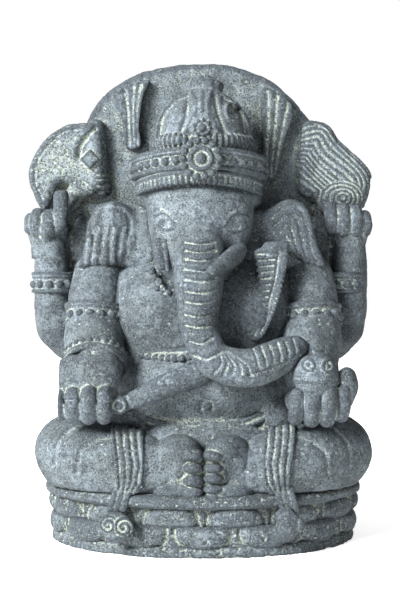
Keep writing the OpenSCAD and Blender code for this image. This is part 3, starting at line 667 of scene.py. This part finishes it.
def makeLegs():
    for side, name in ((-1, "left"), (1, "right")):
        place, p = around("leg_" + name, "stone_body", 1.1, spare=6)
        q = mirrored(p, side)
        field = incise(legForm(q), q, leg["folds"], depth=1.5, width=1.9, back=20)
        shape(place, field, 1.0)

        place, p = around("foot_" + name, "stone_body", 0.9, spare=5)
        q = mirrored(p, side)
        field = ball(q, (1, 6, 1), (18.5, 16, 21))
        field = join(field, ball(q, (-4, 0, 12), (14, 14, 10)), 5)
        field = carve(field, ball(q, (6, -22, -8), (11, 14, 18)), 5)  # hollow of the sole
        field = join(field, ball(q, (0, 2, -20), (20, 17, 8)), 4)
        field = join(field, ball(q, (-15, 1, -7), (9, 11, 20)), 3)  # stone left standing behind the toes
        for level, half in foot["foot_" + name]:
            field = join(field, ball(q, (-12.5, -8, level), (8.0, 9.5, half)), 0.8)
        shape(place, field, 0.8)

        place, p = around("sash_" + name, "stone_ornament", 0.9, spare=9)
        q = mirrored(p, side)
        # folds lie on the leg: their surface is the leg's own, pushed outwards in ridges
        middle = np.interp(q[2], sash["levels"], sash["middle"])
        narrow = np.interp(q[2], sash["levels"], sash["narrow"])
        u = (q[0] - middle) / narrow
        skin = legForm((q[0] - 17, q[1] - 56, q[2] - 4))
        ridge = np.cos(2 * np.pi * u / sash["pitch"])
        field = skin - 1.6 - 0.8 * ridge - 0.6 * np.clip(ridge, 0, 1) * np.cos(q[2] * 1.4)
        field = np.maximum(field, np.maximum(u - 6.5, -21 - u))
        field = np.maximum(field, -4 - skin)
        main = np.array([(-2, -1, -16), (0, -5, -24), (3, -7, -34)], float)
        for shift in (-5, 0, 5):
            field = join(field, rod(q, main + [shift, 2.5, 0], 2.7, squash=0.8)[0], 0.8)
        shape(place, field, 0.6)

    place, p = around("sash_tassel_left", "stone_ornament", 0.7, spare=4)
    field = ball(p, (-2, 1, 0), (12.5, 6, 11))
    for cx, cz, size in ((4.5, 0, 7.6), (-7, 1.5, 6.6)):
        away = np.hypot(p[0] - cx, p[2] - cz)
        coil = away + np.arctan2(p[2] - cz, p[0] - cx) * 0.55
        disc = plate(p, away - size, -6, 4, 2.5)
        field = join(field, disc - 0.8 * np.cos(2 * np.pi * coil / 3.9) * (p[1] < 0), 0.8)
    field = join(field, ball(p, (-1, -1, -9), (8, 4, 4)), 1.0)
    shape(place, field, 0.5)

    place, p = around("sash_tassel_right", "stone_ornament", 0.7, spare=4)
    field = ball(p, (-1, 0, 0), (9.5, 7, 11.5), tilt=-18)
    field = join(field, ball(p, (8.5, -1, 1), (3.6, 4, 5)), 0.8)
    field = join(field, ball(p, (-4, 1, 10), (7, 4, 4), tilt=25), 1.0)
    shape(place, field, 0.6)
    print("legs made")


# ---------- front arms and hands ----------
frontArm = {
    "line": [(2, 24, 34), (3, 17, 18), (4, 8, -2), (3, -7, -19), (0, -23, -32), (-3, -34, -42)],
    "radius": [21, 22.5, 23, 23, 22, 19],
}
leftFingers = [([(30, 2, -1), (31.5, -6, -5), (31, -9, -11), (30, -6, -16)], 6.1),
               ([(19, -3, 1), (20, -12, -3), (20, -14, -10), (19.5, -11, -17)], 6.5),
               ([(8, -4, 2), (8, -14, -2), (8, -16, -10), (8, -13, -18)], 6.4),
               ([(-4, -4, 1), (-4, -13, -3), (-4, -15, -11), (-4, -12, -18)], 6.2)]
rightFingers = [([(-14, -4, -20), (-14, -12, -12), (-13, -12, -2)], 5.8), ([(-2, -7, -21), (-2, -14, -11),
                                                                            (-2, -15, 0)], 6.0),
                ([(10, -7, -21), (10.5, -14, -11), (10.5, -14, 2)], 6.2), ([(21, -4, -18), (22.5, -10, -9),
                                                                            (22, -10, 2)], 5.8),
                ([(24, 0, -6), (27, -5, 4), (25, -7, 12)], 7.4)]


def makeFrontArms():
    for side, name in ((-1, "left"), (1, "right")):
        place, p = around("front_arm_" + name, "stone_body", 1.1, spare=6)
        q = mirrored(p, side)
        field = rod(q, frontArm["line"], frontArm["radius"], spans=3)[0]
        field = join(field, ball(q, (2, -4, -16), (22, 21, 20)), 8)
        shape(place, field, 1.0)

        place, p = around("front_armlet_" + name, "stone_body", 0.9, spare=4)
        q = mirrored(p, side)
        field = studRing((q[0], q[1] + 0.5, q[2]), (24.5, 23.8), 7.6, 17, 3.5, nod=-12, tilt=3)
        shape(place, field, 0.7)

    place, p = around("bracelet_left", "stone_body", 0.8, spare=5)
    q = (p[0], *turned2(p[1], p[2], -42))
    out = ovalAway(q, (24, 22.5))
    field = np.maximum(np.abs(out + 2) - 2.4, np.abs(q[2]) - 4.5)
    for level in (-1.5, -5):
        field = join(field, np.sqrt(out**2 + (q[2] - level) ** 2) - 1.5, 0.6)
    field = join(field, beads(q, ovalPoints((24, 22.5), 26, 3.2), 2.6), 0.5)
    shape(place, field, 0.5)

    place, p = around("front_hand_left", "stone_body", 0.8, spare=7)
    q = mirrored(p, -1)
    field = ball(q, (11, 5, 12), (27, 17, 19))
    field = join(field, ball(q, (9, 2, -7), (26, 12, 13)), 5)
    for joints, radius in leftFingers:
        finger, along = rod(q, joints, radius)
        field = join(field, finger + 0.9 * np.exp(-(((along - 14) / 1.6) ** 2)), 1.0)
    thumb = plate(q, np.hypot(q[0] + 15, q[2] + 10) - 7, -12, 4, 3)
    thumb = thumb + 1.1 * np.exp(-(((np.hypot(q[0] + 15, q[2] + 10) - 4) / 1.0) ** 2)) * (q[1] < -6)
    field = join(field, thumb, 1.5)
    field = join(field, ball(q, (36, 3, -1), 4.5), 1.5)
    shape(place, field, 0.7)

    place, p = around("front_hand_right", "stone_body", 0.8, spare=7)
    field = ball(p, (4, 3, -7), (26, 14, 15))
    for joints, radius in rightFingers:
        field = join(field, rod(p, joints, radius)[0], 1.2)
    shape(place, field, 0.7)

    place, p = around("held_tusk", "stone_body", 0.9, spare=6)
    line = [(-30, -3, -14), (-12, -3, -6.5), (6, -1, 1.5), (27, 5, 9)]
    field, along = rod(p, line, [6.2, 8.6, 9.4, 9.0], squash=0.9)
    field = field + 1.0 * np.exp(-(((along - 3) / 1.3) ** 2))
    shape(place, field, 0.9)

    place, p = around("sweet_bowl", "stone_ornament", 0.8, spare=8)
    field = ball(p, (0, 0, 3), (18, 17, 18))
    field = np.maximum(field, -12 - p[2])
    lip = np.sqrt(ovalAway(p, (17, 15.6)) ** 2 + p[2] ** 2) - 1.8
    field = join(field, lip, 1.0)
    for cx, cz in ((-7.5, 13), (7.5, 12)):
        ring = np.hypot(p[0] - cx, p[2] - cz)
        field = field - 1.6 * np.exp(-(((ring - 4.2) / 1.1) ** 2)) * (p[1] < 0)
        field = field - 1.4 * np.exp(-((ring / 1.5) ** 2)) * (p[1] < 0)
    shape(place, field, 0.6)
    print("front arms made")


# ---------- the elephant head ----------
headShape = {
    "rows": [(50, 0, 2, 30, 26), (40, 0, 0, 42, 36), (28, 1, 0, 43.5, 38.5), (14, 1.5, -1, 43, 39),
             (4, 1, -2, 41, 38),
             (-12, -1, -4, 36, 35), (-22, -2.5, -6, 32, 32), (-31, -4, -7, 27.5, 28), (-41, -6, -7, 22, 23),
             (-49, -7, -6, 17, 16)],
    "hood": ((0, 10, 36), (53, 34, 17)),  # what hangs behind the temples
    "ridge": [(1, -20, 34), (0, -25, 14), (-1, -32, -6), (-1, -35, -24)],
    "ridgeRadius": [17, 19, 19.5, 17],
    "eyes": [((30, -26, 13), (8.0, 5.5, 4.8), -14), ((-26.5, -28, 14), (7.0, 4.5, 4.2), 18)],
    "lids": [[(20.5, 10), (24, 17), (31, 20.5), (39, 18.5)], [(23, 6.5), (30, 5.5), (38, 10)],
             [(-35, 19), (-28, 20.5), (-20, 12)], [(-33, 10.5), (-27, 7), (-21, 8)]],
    "temples": [[(-33, 30), (-30, 24), (-24, 20)], [(34, 27), (30, 24), (25, 22)]],
    "cheeks": [((27, -24, -10), (10, 9, 11)), ((-27, -24, -13), (9, 8, 13))],  # the tusks grow from them
}
trunkShape = {
    "line": [(-33, 16, 56), (-33, 8, 38), (-33.5, 1, 16), (-33.5, -5, 2), (-34, -9, -12), (-31.5, -13, -28),
             (-21, -16, -46), (2, -18, -52), (20, -16, -47), (33, -11, -41), (41, -7, -37)],
    "radius": [17, 19.5, 19.5, 17.5, 15.4, 14.2, 14.2, 15, 14.8, 13, 10],
    "creases": [44, 37.5, 31, 23, 15, 6, -2, -12, -20],  # heights
    "creaseHalf": 11.5,
}
ears = {
    "ear_left": {
        "nape": [(-8, 14), (-14, -4), (-18, -24), (36, -28), (36, 14), (14, 18)],
        "neck": [(10, 16), (8, -26), (38, -30), (38, 18), (22, 22)],  # stone between ear and slab
        "edge": [(-3, 25), (-13, 21), (-19, 8), (-22, -6), (-25, -20), (-28, -28), (-14, -27.5), (0, -26.5),
                 (10, -23),
                 (17, -14), (20, -3), (20, 10), (15, 20), (6, 25)],
        "rim": [(-16, 0), (-14, 14), (-5, 20), (6, 20), (14, 12), (15, 0)],
        "folds": [[(-19, -6), (-22, -24)], [(-13, 2), (-15, -10), (-17, -25)], [(-6, 3), (-8, -10),
                                                                                (-10, -25)],
                  [(1, 3), (-1, -10), (-2, -24)], [(8, 3), (6, -10), (5, -22)], [(15, 2), (13, -8),
                                                                                 (12, -18)]],
    },
    "ear_right": {
        "nape": [(8, 14), (14, -4), (18, -24), (-34, -28), (-36, 14), (-14, 18)],
        "neck": [(-12, 12), (-10, -24), (-38, -28), (-38, 16), (-22, 18)],
        "edge": [(-26, 12), (-15, 21), (-4, 26), (7, 25), (15, 18), (19, 4), (22, -10), (29, -28), (14, -27),
                 (4, -21),
                 (-6, -15), (-18, -8), (-27, -2)],
        "rim": [(-14, 12), (-3, 20), (8, 18), (13, 6), (16, -10), (22, -26)],
        "folds": [[(-11, 6), (-3, 13), (5, 11), (8, 0), (11, -14), (16, -25)], [(-8, -1), (-3, 5), (2, 0),
                                                                                (5, -12),
                  (9, -23)], [(-7, -8), (-3, -4), (0, -12), (3, -20)]],
    },
}


def makeHead():
    place, p = around("head", "stone_body", 1.0, spare=7)
    field = lofted(p, headShape["rows"], 2.15)
    field = join(field, ball(p, *headShape["hood"]), 4)
    field = join(field, rod(p, headShape["ridge"], headShape["ridgeRadius"])[0], 9)
    for centre, size in headShape["cheeks"]:
        field = join(field, ball(p, centre, size), 8)
    for centre, size, tilt in headShape["eyes"]:
        field = join(field, ball(p, centre, size, tilt=tilt), 1.2)
    field = incise(field, p, headShape["lids"], depth=-1.1, width=1.3, back=0)
    field = incise(field, p, headShape["temples"], depth=0.7, width=1.8, back=0)
    shape(place, field, 0.9)

    place, p = around("trunk", "stone_body", 0.95, spare=7)
    field = rod(p, trunkShape["line"], trunkShape["radius"])[0]
    half = trunkShape["creaseHalf"]
    cuts = [[(-33 - half, z + 1.2), (-33, z - 0.6), (-33 + half, z + 1.2)] for z in trunkShape["creases"]]
    cuts += [[(-40, -31), (-32, -33), (-24, -29)], [(-37, -42), (-28, -45), (-18, -40)]]
    field = incise(field, p, cuts, depth=2.3, width=1.2, back=6)
    fan = [[(-18 + 1.5 * k, -39), (-16 + 4.5 * k, -48), (-22 + 7 * k, -56)] for k in range(5)]
    field = incise(field, p, fan, depth=1.4, width=1.0, back=6)
    ribs = [[(8 + 6.2 * k, -37 + 1.4 * k), (11 + 6.0 * k, -45 + 1.3 * k), (12 + 5.6 * k, -50 + 1.5 * k)]
            for k in range(6)]
    ribs += [[(4, -57), (20, -53), (36, -46), (44, -42)]]
    field = incise(field, p, ribs, depth=1.3, width=1.0, back=0)
    shape(place, field, 0.8)

    for node, ear in ears.items():
        place, p = around(node, "stone_body", 0.9, spare=16)
        edge = outline(p[0], p[2], ear["edge"])
        inward = p[0] if node == "ear_left" else -p[0]
        lean = p[1] + 0.1 * p[2] - 0.5 * np.maximum(inward - 2, 0)  # its root lies behind the cheek
        field = plate((p[0], lean, p[2]), edge, -10, 14, 6)
        field = field + 1.8 * np.clip(-edge / 9, 0, 1) * (p[1] < 0) * np.clip((16 - p[2]) / 12, 0, 1)
        field = incise(field, p, ear["folds"], depth=1.7, width=2.1, back=4)
        field = incise(field, p, [ear["rim"]], depth=1.7, width=1.9, back=4)
        field = join(field, plate(p, outline(p[0], p[2], ear["nape"]), 7, 58, 9), 4)
        field = join(field, plate(p, outline(p[0], p[2], ear["neck"]), 0, 58, 9), 5)
        shape(place, field, 0.9)

    place, p = around("tusk_right", "stone_body", 0.8, spare=5)
    field = rod(p, [(7, 20, 6.5), (1.5, 10, 2), (-6, 0, -4), (-15, -8, -10.5)], [6.4, 6.6, 6.3, 5.2])[0]
    shape(place, field, 0.6)
    place, p = around("tusk_stub_left", "stone_body", 0.8, spare=5)
    field = rod(p, [(-3, 9, 6), (-2, 5, -3), (0, 3, -12)], [5, 4.4, 3.4])[0]
    field = join(field, rod(p, [(2.5, 8, 8), (3.5, 4, -4), (5, 3, -15)], [2.6, 2.4, 1.8])[0], 1.5)
    shape(place, field, 0.6)
    print("head made")


# ---------- the crown ----------
crown = {
    "bandRadius": (54.5, 46),
    "sag": 4.5,  # the band droops at the sides
    "fringeRadius": (51.5, 45.0),
    "fringeSag": 6.0,
    "stud": 8.6,  # from one stud of the band to the next
    "tierRadius": (41.5, 40),
    "tierFlute": 4.6,
    "flute": 4.3,
    "dome": [(-31, 3, 0, 42, 40), (-22, 3.2, 0, 41, 39.5), (-5, 3.2, 0, 38, 36.5), (3, 3, 0, 34.5, 33),
             (9, 3, -1, 30, 29), (14, 3.4, -1, 24, 23), (18, 4.2, -2, 18, 17), (22, 4.5, -2, 13.5, 13),
             (30, 4.5, -2, 12, 12)],
    "column": [(-7, 21), (-4, 8), (-4, 0), (-7, -10), (-13, -19), (17, -19), (12, -10), (8.5, 0), (8.5, 8),
               (10.5, 21)],
    "columnRims": [[(-7, 20), (-4, 8), (-4, -1), (-12, -18)], [(10.5, 20), (8.5, 8), (8.5, -1), (16, -18)]],
    "rims": [[(-36, -16), (-33, -1.5), (-24, 10.5), (-11, 17)], [(42.5, -19), (40, -3), (31, 10),
                                                                 (20.5, 16.5)]],
    "grooves": [[(-9, 14), (-10, -4), (-15, -18)], [(-31.5, -16), (-28.5, -2), (-20, 8.5), (-11, 13)],
                [(13, 14), (15, 0),
                (21, -17)], [(37.5, -18), (35, -2), (28, 8), (20, 13)]],
    "hook": [(31, -4.5), (24, -3.5), (22.2, 3), (25, 9), (31.5, 9.6)],
}


def roundOval(p, radius):
    # length round an oval measured from the front, for patterns that repeat along it
    turn = np.arctan2(p[0] / radius[0], -p[1] / radius[1])
    return turn * (radius[0] + radius[1]) / 2


def makeCrown():
    radius = crown["bandRadius"]
    place, p = around("crown_band", "stone_ornament", 1.0, spare=12)
    q = (p[0], p[1], p[2] + crown["sag"] * (p[0] / radius[0]) ** 2)
    out = ovalAway(q, radius)
    field = np.maximum(out + 1.0, np.abs(q[2]) - 9)
    for level, size in ((8, 1.9), (5, 1.0), (-6.5, 1.9)):
        field = join(field, np.sqrt(out**2 + (q[2] - level) ** 2) - size, 0.8)
    run = roundOval(q, radius)
    spacing = crown["stud"]
    stud = np.hypot((run + spacing / 2) % spacing - spacing / 2, q[2] + 0.5)
    field = join(field, np.sqrt(stud**2 + out**2) - 3.2, 0.6)
    bars = np.abs((run + spacing) % spacing - spacing / 2)
    field = field - 0.9 * np.exp(-((bars / 0.9) ** 2)) * (np.abs(q[2]) < 5)
    curl = np.hypot(run - 53, q[2] + 1)
    field = join(field, np.sqrt((curl - 5) ** 2 + (out - 0.5) ** 2) - 1.5, 0.6)
    shape(place, field, 0.7)

    place, p = around("crown_fringe", "stone_ornament", 0.95, spare=14)
    radius = crown["fringeRadius"]
    q = (p[0], p[1], p[2] + crown["fringeSag"] * (p[0] / radius[0]) ** 2)
    out = ovalAway(q, radius)
    run = roundOval(q, radius)
    flute = np.cos(2 * np.pi * run / crown["flute"])
    out = out - 0.9 * flute * np.clip((4 - q[2]) / 3, 0, 1)
    field = np.maximum(out, np.maximum(-4.5 - q[2] - 1.0 * flute, p[2] - 6))
    field = join(field, np.sqrt(np.maximum(out, -2) ** 2 + (q[2] - 4.6) ** 2) - 1.5, 0.8)
    shape(place, field, 0.6)

    place, p = around("crown_medallion", "stone_ornament", 0.7, spare=4)
    q = (p[0] - 1, p[1], p[2] + 1)
    away = np.hypot(q[0], q[2])
    field = plate(q, away - 16, -1, 6, 1.5)
    field = join(field, plate(q, away - 10.5, -2.4, 3, 1.5), 0.6)
    field = join(field, np.sqrt((away - 8.2) ** 2 + (q[1] + 2.4) ** 2) - 1.9, 0.5)
    field = join(field, ball(q, (0, -1.5, 0), (4.6, 4, 4.6)), 0.4)
    turn = np.radians(np.arange(0, 360, 25.7))
    spots = np.stack([14.2 * np.cos(turn), 0 * turn - 1, 14.2 * np.sin(turn)], 1)
    field = join(field, beads(q, spots, 3.0), 0.5)
    shape(place, field, 0.4)

    place, p = around("crown_dome", "stone_ornament", 0.95, spare=7)
    front = p[1] < 0
    field = lofted(p, crown["dome"])
    column = outline(p[0], p[2], crown["column"])
    field = field - 2.2 * np.clip(-column / 2, 0, 1) * front
    field = incise(field, p, crown["rims"] + crown["columnRims"], depth=-1.7, width=1.5, back=0)
    field = incise(field, p, crown["grooves"], depth=2.4, width=1.9, back=0)
    field = incise(field, p, [crown["hook"]], depth=-2.2, width=1.7, back=0)
    field = incise(field, p, [[(30, -1), (27, 1), (28, 5), (32, 6)]], depth=2.6, width=2.0, back=0)
    field = incise(field, p, [[(2.2, 18), (2.2, 0)]], depth=-1.6, width=1.8, back=0)
    disc = np.hypot(p[0] - 2.2, p[2] + 14)
    turn = np.arctan2(p[2] + 14, p[0] - 2.2)
    field = field - 2.6 * np.clip((7.6 + 0.8 * np.cos(9 * turn) - disc) / 1.6, 0, 1) * front
    field = field + 1.8 * np.exp(-(((disc - 4.3) / 1.0) ** 2)) * front
    field = field - 1.4 * np.exp(-((disc / 2.2) ** 2)) * front
    tierSpot = (p[0] - 3.2, p[1], 0)
    tier = np.sqrt(ovalAway(tierSpot, crown["tierRadius"]) ** 2 + ((p[2] + 23) / 1.8) ** 2) - 2.8
    tier = tier - 0.9 * np.cos(2 * np.pi * roundOval(tierSpot, crown["tierRadius"]) / crown["tierFlute"])
    field = join(field, tier + 3 * np.exp(-((p[0] / 11) ** 2)), 1.2)
    shape(place, field, 0.7)

    place, p = around("crown_finial", "stone_ornament", 0.8, spare=5)
    field = ball(p, (0, 0, -3), (14, 12.5, 8))
    field = join(field, beads(p, ovalPoints((11, 9.5), 9, -1.5), 3.6), 1.0)
    field = join(field, beads(p, ovalPoints((5, 5), 5, 3), 3.0), 1.0)
    shape(place, field, 0.8)
    print("crown made")


# ---------- stone ----------
def linear(hexCode):
    v = np.array([int(hexCode[i : i + 2], 16) for i in (1, 3, 5)]) / 255
    return (*np.where(v <= 0.04045, v / 12.92, ((v + 0.055) / 1.055) ** 2.4), 1.0)


def addNode(tree, kind, inputs, output=0, **settings):
    # one node with its settings; each input is a value or another node's output
    node = tree.nodes.new(kind)
    for name, value in settings.items():
        setattr(node, name, value)
    for socket, value in inputs.items():
        if isinstance(value, bpy.types.NodeSocket):
            tree.links.new(value, node.inputs[socket])
        else:
            node.inputs[socket].default_value = value
    return node.outputs[output] if len(node.outputs) else None


def carvedStone(name, dusty):
    # hand carved andesite: matt and pitted, pale dust in the cuts, dark where it has been rubbed; the
    # attributes also bring in painted shade and painted light
    material = bpy.data.materials.new(name)
    material.use_nodes = True
    tree = material.node_tree
    tree.nodes.clear()
    where = addNode(tree, "ShaderNodeTexCoord", {}, "Object")
    dust_and_light = addNode(tree, "ShaderNodeAttribute", {}, "Fac", attribute_name="dust_and_light")
    wear_and_shade = addNode(tree, "ShaderNodeAttribute", {}, "Fac", attribute_name="wear_and_shade")
    grain, mottle, patches = (
        addNode(tree, "ShaderNodeTexNoise",
                {"Vector": where, "Scale": 1000 / size, "Detail": detail, "Roughness": rough})
        for size, detail, rough in stone["noises"])
    cells = addNode(tree, "ShaderNodeTexVoronoi", {"Vector": where, "Scale": 1000 / 2.1})
    # each sum is a noise times its weight on top of the one before
    # dust in the cuts together with the painted light carried by the dust attribute
    dust_and_light_cover = addNode(tree, "ShaderNodeMath", {0: mottle, 1: 0.8, 2: dust_and_light}, operation="MULTIPLY_ADD")
    dust_and_light_cover = addNode(tree, "ShaderNodeMath", {0: grain, 1: 0.7, 2: dust_and_light_cover}, operation="MULTIPLY_ADD")
    # rubbed wear together with the painted shade carried by the rub attribute
    handled_and_shaded = addNode(tree, "ShaderNodeMath", {0: mottle, 1: 0.65, 2: wear_and_shade}, operation="MULTIPLY_ADD")
    handled_and_shaded = addNode(tree, "ShaderNodeMath", {0: grain, 1: 0.65, 2: handled_and_shaded}, operation="MULTIPLY_ADD")
    pores = addNode(tree, "ShaderNodeMath", {0: mottle, 1: -0.35, 2: grain}, operation="MULTIPLY_ADD")
    flecks = addNode(tree, "ShaderNodeMath", {0: mottle, 1: -0.3, 2: cells}, operation="MULTIPLY_ADD")
    colour = linear(stone["body"])
    for source, low, high, most, tint in (
            (patches, 0.42, 0.60, 0.8, "cool"),
            (patches, 0.50, 0.36, 0.55, "worn"),
            # rubbed wear and painted shade
            (handled_and_shaded, 0.86, 1.22, 0.9, "worn"),
            # dust in the cuts and painted light
            (dust_and_light_cover, 1.13 - dusty, 1.5 - dusty, 0.95, "dust_and_light"),
            (pores, 0.31, 0.23, 0.85, "pores_and_hollow_shade"),
            (grain, 0.59, 0.68, 0.45, "dust_and_light"),
            (flecks, -0.05, -0.10, 0.75, "crystal")):
        share = addNode(tree, "ShaderNodeMapRange", {0: source, 1: low, 2: high, 4: most})
        both = {0: share, 6: colour, 7: linear(stone[tint])}
        colour = addNode(tree, "ShaderNodeMix", both, 2, data_type="RGBA")
    height = addNode(tree, "ShaderNodeMath", {0: mottle, 1: 1.6, 2: grain}, operation="MULTIPLY_ADD")
    bump = addNode(tree, "ShaderNodeBump", {"Height": height, "Strength": 0.8, "Distance": 0.0008})
    surface = addNode(tree, "ShaderNodeBsdfPrincipled", {
        "Base Color": colour, "Normal": bump, "Roughness": stone["roughness"], "Specular IOR Level": 0.3})
    addNode(tree, "ShaderNodeOutputMaterial", {"Surface": surface})
    return material


# ---------- finished pieces ----------
def hollowness():
    # how much of the space round a place is stone: half on a flat wall, more in a hollow
    solid = room.astype(np.float32)
    for axis in range(3):
        for reach in (3, 2):
            spare = [(reach + 1, reach) if k == axis else (0, 0) for k in range(3)]
            total = np.cumsum(np.pad(solid, spare), axis=axis)
            length = solid.shape[axis]
            after = np.take(total, np.arange(2 * reach + 1, 2 * reach + 1 + length), axis=axis)
            solid = (after - np.take(total, np.arange(length), axis=axis)) / (2 * reach + 1)
    return solid


def sampled(grid, points):
    q = [(points[:, k] - roomAxes[k][0]) / roomStep for k in range(3)]
    i = [np.clip(np.floor(v).astype(int), 0, grid.shape[k] - 2) for k, v in enumerate(q)]
    f = [np.clip(v - a, 0, 1) for v, a in zip(q, i)]
    total = 0
    for corner in range(8):
        o = (corner & 1, corner >> 1 & 1, corner >> 2)
        weight = np.prod([f[k] if o[k] else 1 - f[k] for k in range(3)], axis=0)
        total = total + weight * grid[i[0] + o[0], i[1] + o[1], i[2] + o[2]]
    return total


def painted_shade_and_light_at(points):
    # each listed piece's painted shade (above nought) and painted light (below nought) at the middle of its
    # CAD box, fading out over half the box's size
    total = np.zeros(len(points))
    for node, strength in shade_and_light_paint.items():
        low, high = boxOf(node)
        away = (points - (low + high) / 2) / ((high - low) / 2)
        total += strength * np.exp(-np.sum(away**2, axis=1))
    return total


def finishPieces(materials):
    hollows = hollowness()
    triangles = 0
    for piece in made:
        points, faces = piece["points"], piece["faces"]
        mesh = bpy.data.meshes.new(piece["node"] + "_carved")
        mesh.vertices.add(len(points))
        mesh.vertices.foreach_set("co", (points / 1000).astype(np.float32).ravel())
        mesh.loops.add(faces.size)
        mesh.loops.foreach_set("vertex_index", faces.astype(np.int32).ravel())
        mesh.polygons.add(len(faces))
        mesh.polygons.foreach_set("loop_start", np.arange(0, faces.size, 4, dtype=np.int32))
        mesh.update(calc_edges=True)
        mesh.polygons.foreach_set("use_smooth", np.ones(len(faces), bool))
        hollow = (sampled(hollows, points) - 0.5) / 0.12
        painted_shade_light = painted_shade_and_light_at(points)
        drift = 0.5 * grit(points, 13, 6) + 0.4 * grit(points, 4.5, 7)
        score = piece["fine"] / 0.21 + 0.7 * piece["broad"] + 0.5 * hollow
        dust_and_light = 1 / (1 + np.exp(2.0 - 0.9 * (score + drift + 1.1 * np.clip(piece["up"], 0, 1))))
        pores_and_hollow_shade = 0.5 * np.clip(hollow - 0.9, 0, 1.2)  # painted shade in the deepest hollows, added to the rub attribute
        wear_and_shade = 1 / (1 + np.exp(1.2 + 0.9 * (score + drift))) + pores_and_hollow_shade
        # painted light: pieces listed below nought are made paler through the dust attribute; painted shade:
        # those above nought are made darker through the rub attribute
        dust_and_light = dust_and_light + np.clip(-painted_shade_light, 0, 1)
        wear_and_shade = wear_and_shade + np.clip(painted_shade_light, 0, 1)
        for name, values in (("dust_and_light", dust_and_light), ("wear_and_shade", wear_and_shade)):
            mesh.attributes.new(name, "FLOAT", "POINT").data.foreach_set("value", values.astype(np.float32))
        mesh.materials.append(materials[piece["slot"]])
        thing = bpy.data.objects.new(piece["node"] + "_carved", mesh)
        bpy.context.scene.collection.objects.link(thing)
        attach(thing, "root")
        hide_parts(piece["node"])
        triangles += len(faces) * 2
    print("pieces", len(made), "triangles", triangles)


# ---------- floor, light and camera ----------
studio = {
    "lens": 71.5,
    "key": 235.0,
    "keySpot": (-1.5, -1.5, 1.3),
    "keySize": 1.0,
    "sides": (0.62, 0.14),  # how bright the room is to the left and to the right of the viewer
}


def aim(thing, target):
    step = np.array(target) - np.array(thing.location)
    level = math.hypot(step[0], step[1])
    thing.rotation_euler = (math.atan2(level, -step[2]), 0, math.atan2(-step[0], step[1]))


def softLight(name, spot, size, power, target=(0, 0, 0.2)):
    data = bpy.data.lights.new(name, "AREA")
    data.shape, data.size, data.energy = "DISK", size, power
    thing = bpy.data.objects.new(name, data)
    thing.location = spot
    bpy.context.scene.collection.objects.link(thing)
    aim(thing, target)


def makeStudio():
    scene = bpy.context.scene
    scene.view_settings.view_transform = "Standard"
    world = bpy.data.worlds.new("white_room")
    world.use_nodes = True
    tree = world.node_tree
    tree.nodes.clear()
    way = addNode(tree, "ShaderNodeTexCoord", {}, "Generated")
    across = addNode(tree, "ShaderNodeSeparateXYZ", {0: way}, "X")
    away = addNode(tree, "ShaderNodeSeparateXYZ", {0: way}, "Y")
    left, right = studio["sides"]
    ambient = addNode(tree, "ShaderNodeMapRange", {0: across, 1: -0.8, 2: 0.8, 3: left, 4: right})
    behind = addNode(tree, "ShaderNodeMapRange", {0: away, 1: 0.78, 2: 0.92})
    strength = addNode(tree, "ShaderNodeMix", {0: behind, 2: ambient, 3: 1.0})
    light = addNode(tree, "ShaderNodeBackground", {0: (1, 1, 1, 1), 1: strength})
    addNode(tree, "ShaderNodeOutputWorld", {0: light})
    scene.world = world
    mesh = bpy.data.meshes.new("floor")
    mesh.from_pydata([(-6, -6, 0), (6, -6, 0), (6, 6, 0), (-6, 6, 0)], [], [(0, 1, 2, 3)])
    material = bpy.data.materials.new("white_matt_floor")
    material.use_nodes = True
    surface = material.node_tree.nodes["Principled BSDF"]
    surface.inputs["Base Color"].default_value = linear("#ffffff")
    surface.inputs["Roughness"].default_value = 0.9
    surface.inputs["Emission Color"].default_value = (1, 1, 1, 1)
    surface.inputs["Emission Strength"].default_value = 0.7
    mesh.materials.append(material)
    floor = bpy.data.objects.new("floor", mesh)
    scene.collection.objects.link(floor)
    softLight("key_left", studio["keySpot"], studio["keySize"], studio["key"])
    camera = bpy.data.cameras.new("camera")
    camera.lens, camera.sensor_width, camera.sensor_fit = studio["lens"], 36, "AUTO"
    camera.clip_start, camera.clip_end = 0.05, 50
    eye = bpy.data.objects.new("camera", camera)
    middle = [(a + b) / 2 for a, b in zip(*cadBounds)]
    eye.location = (middle[0], -1.0, middle[2])
    scene.collection.objects.link(eye)
    aim(eye, (middle[0], 0, middle[2] - 0.0042))
    scene.camera = eye


makeBase()
makeSlab()
makeHeldUp()
makeBackArms()
makeTorso()
makeLegs()
makeFrontArms()
makeHead()
makeCrown()
finishPieces({slot: carvedStone("carved_andesite_" + slot.split("_")[1], dusty)
              for slot, dusty in dustiness.items()})
makeStudio()
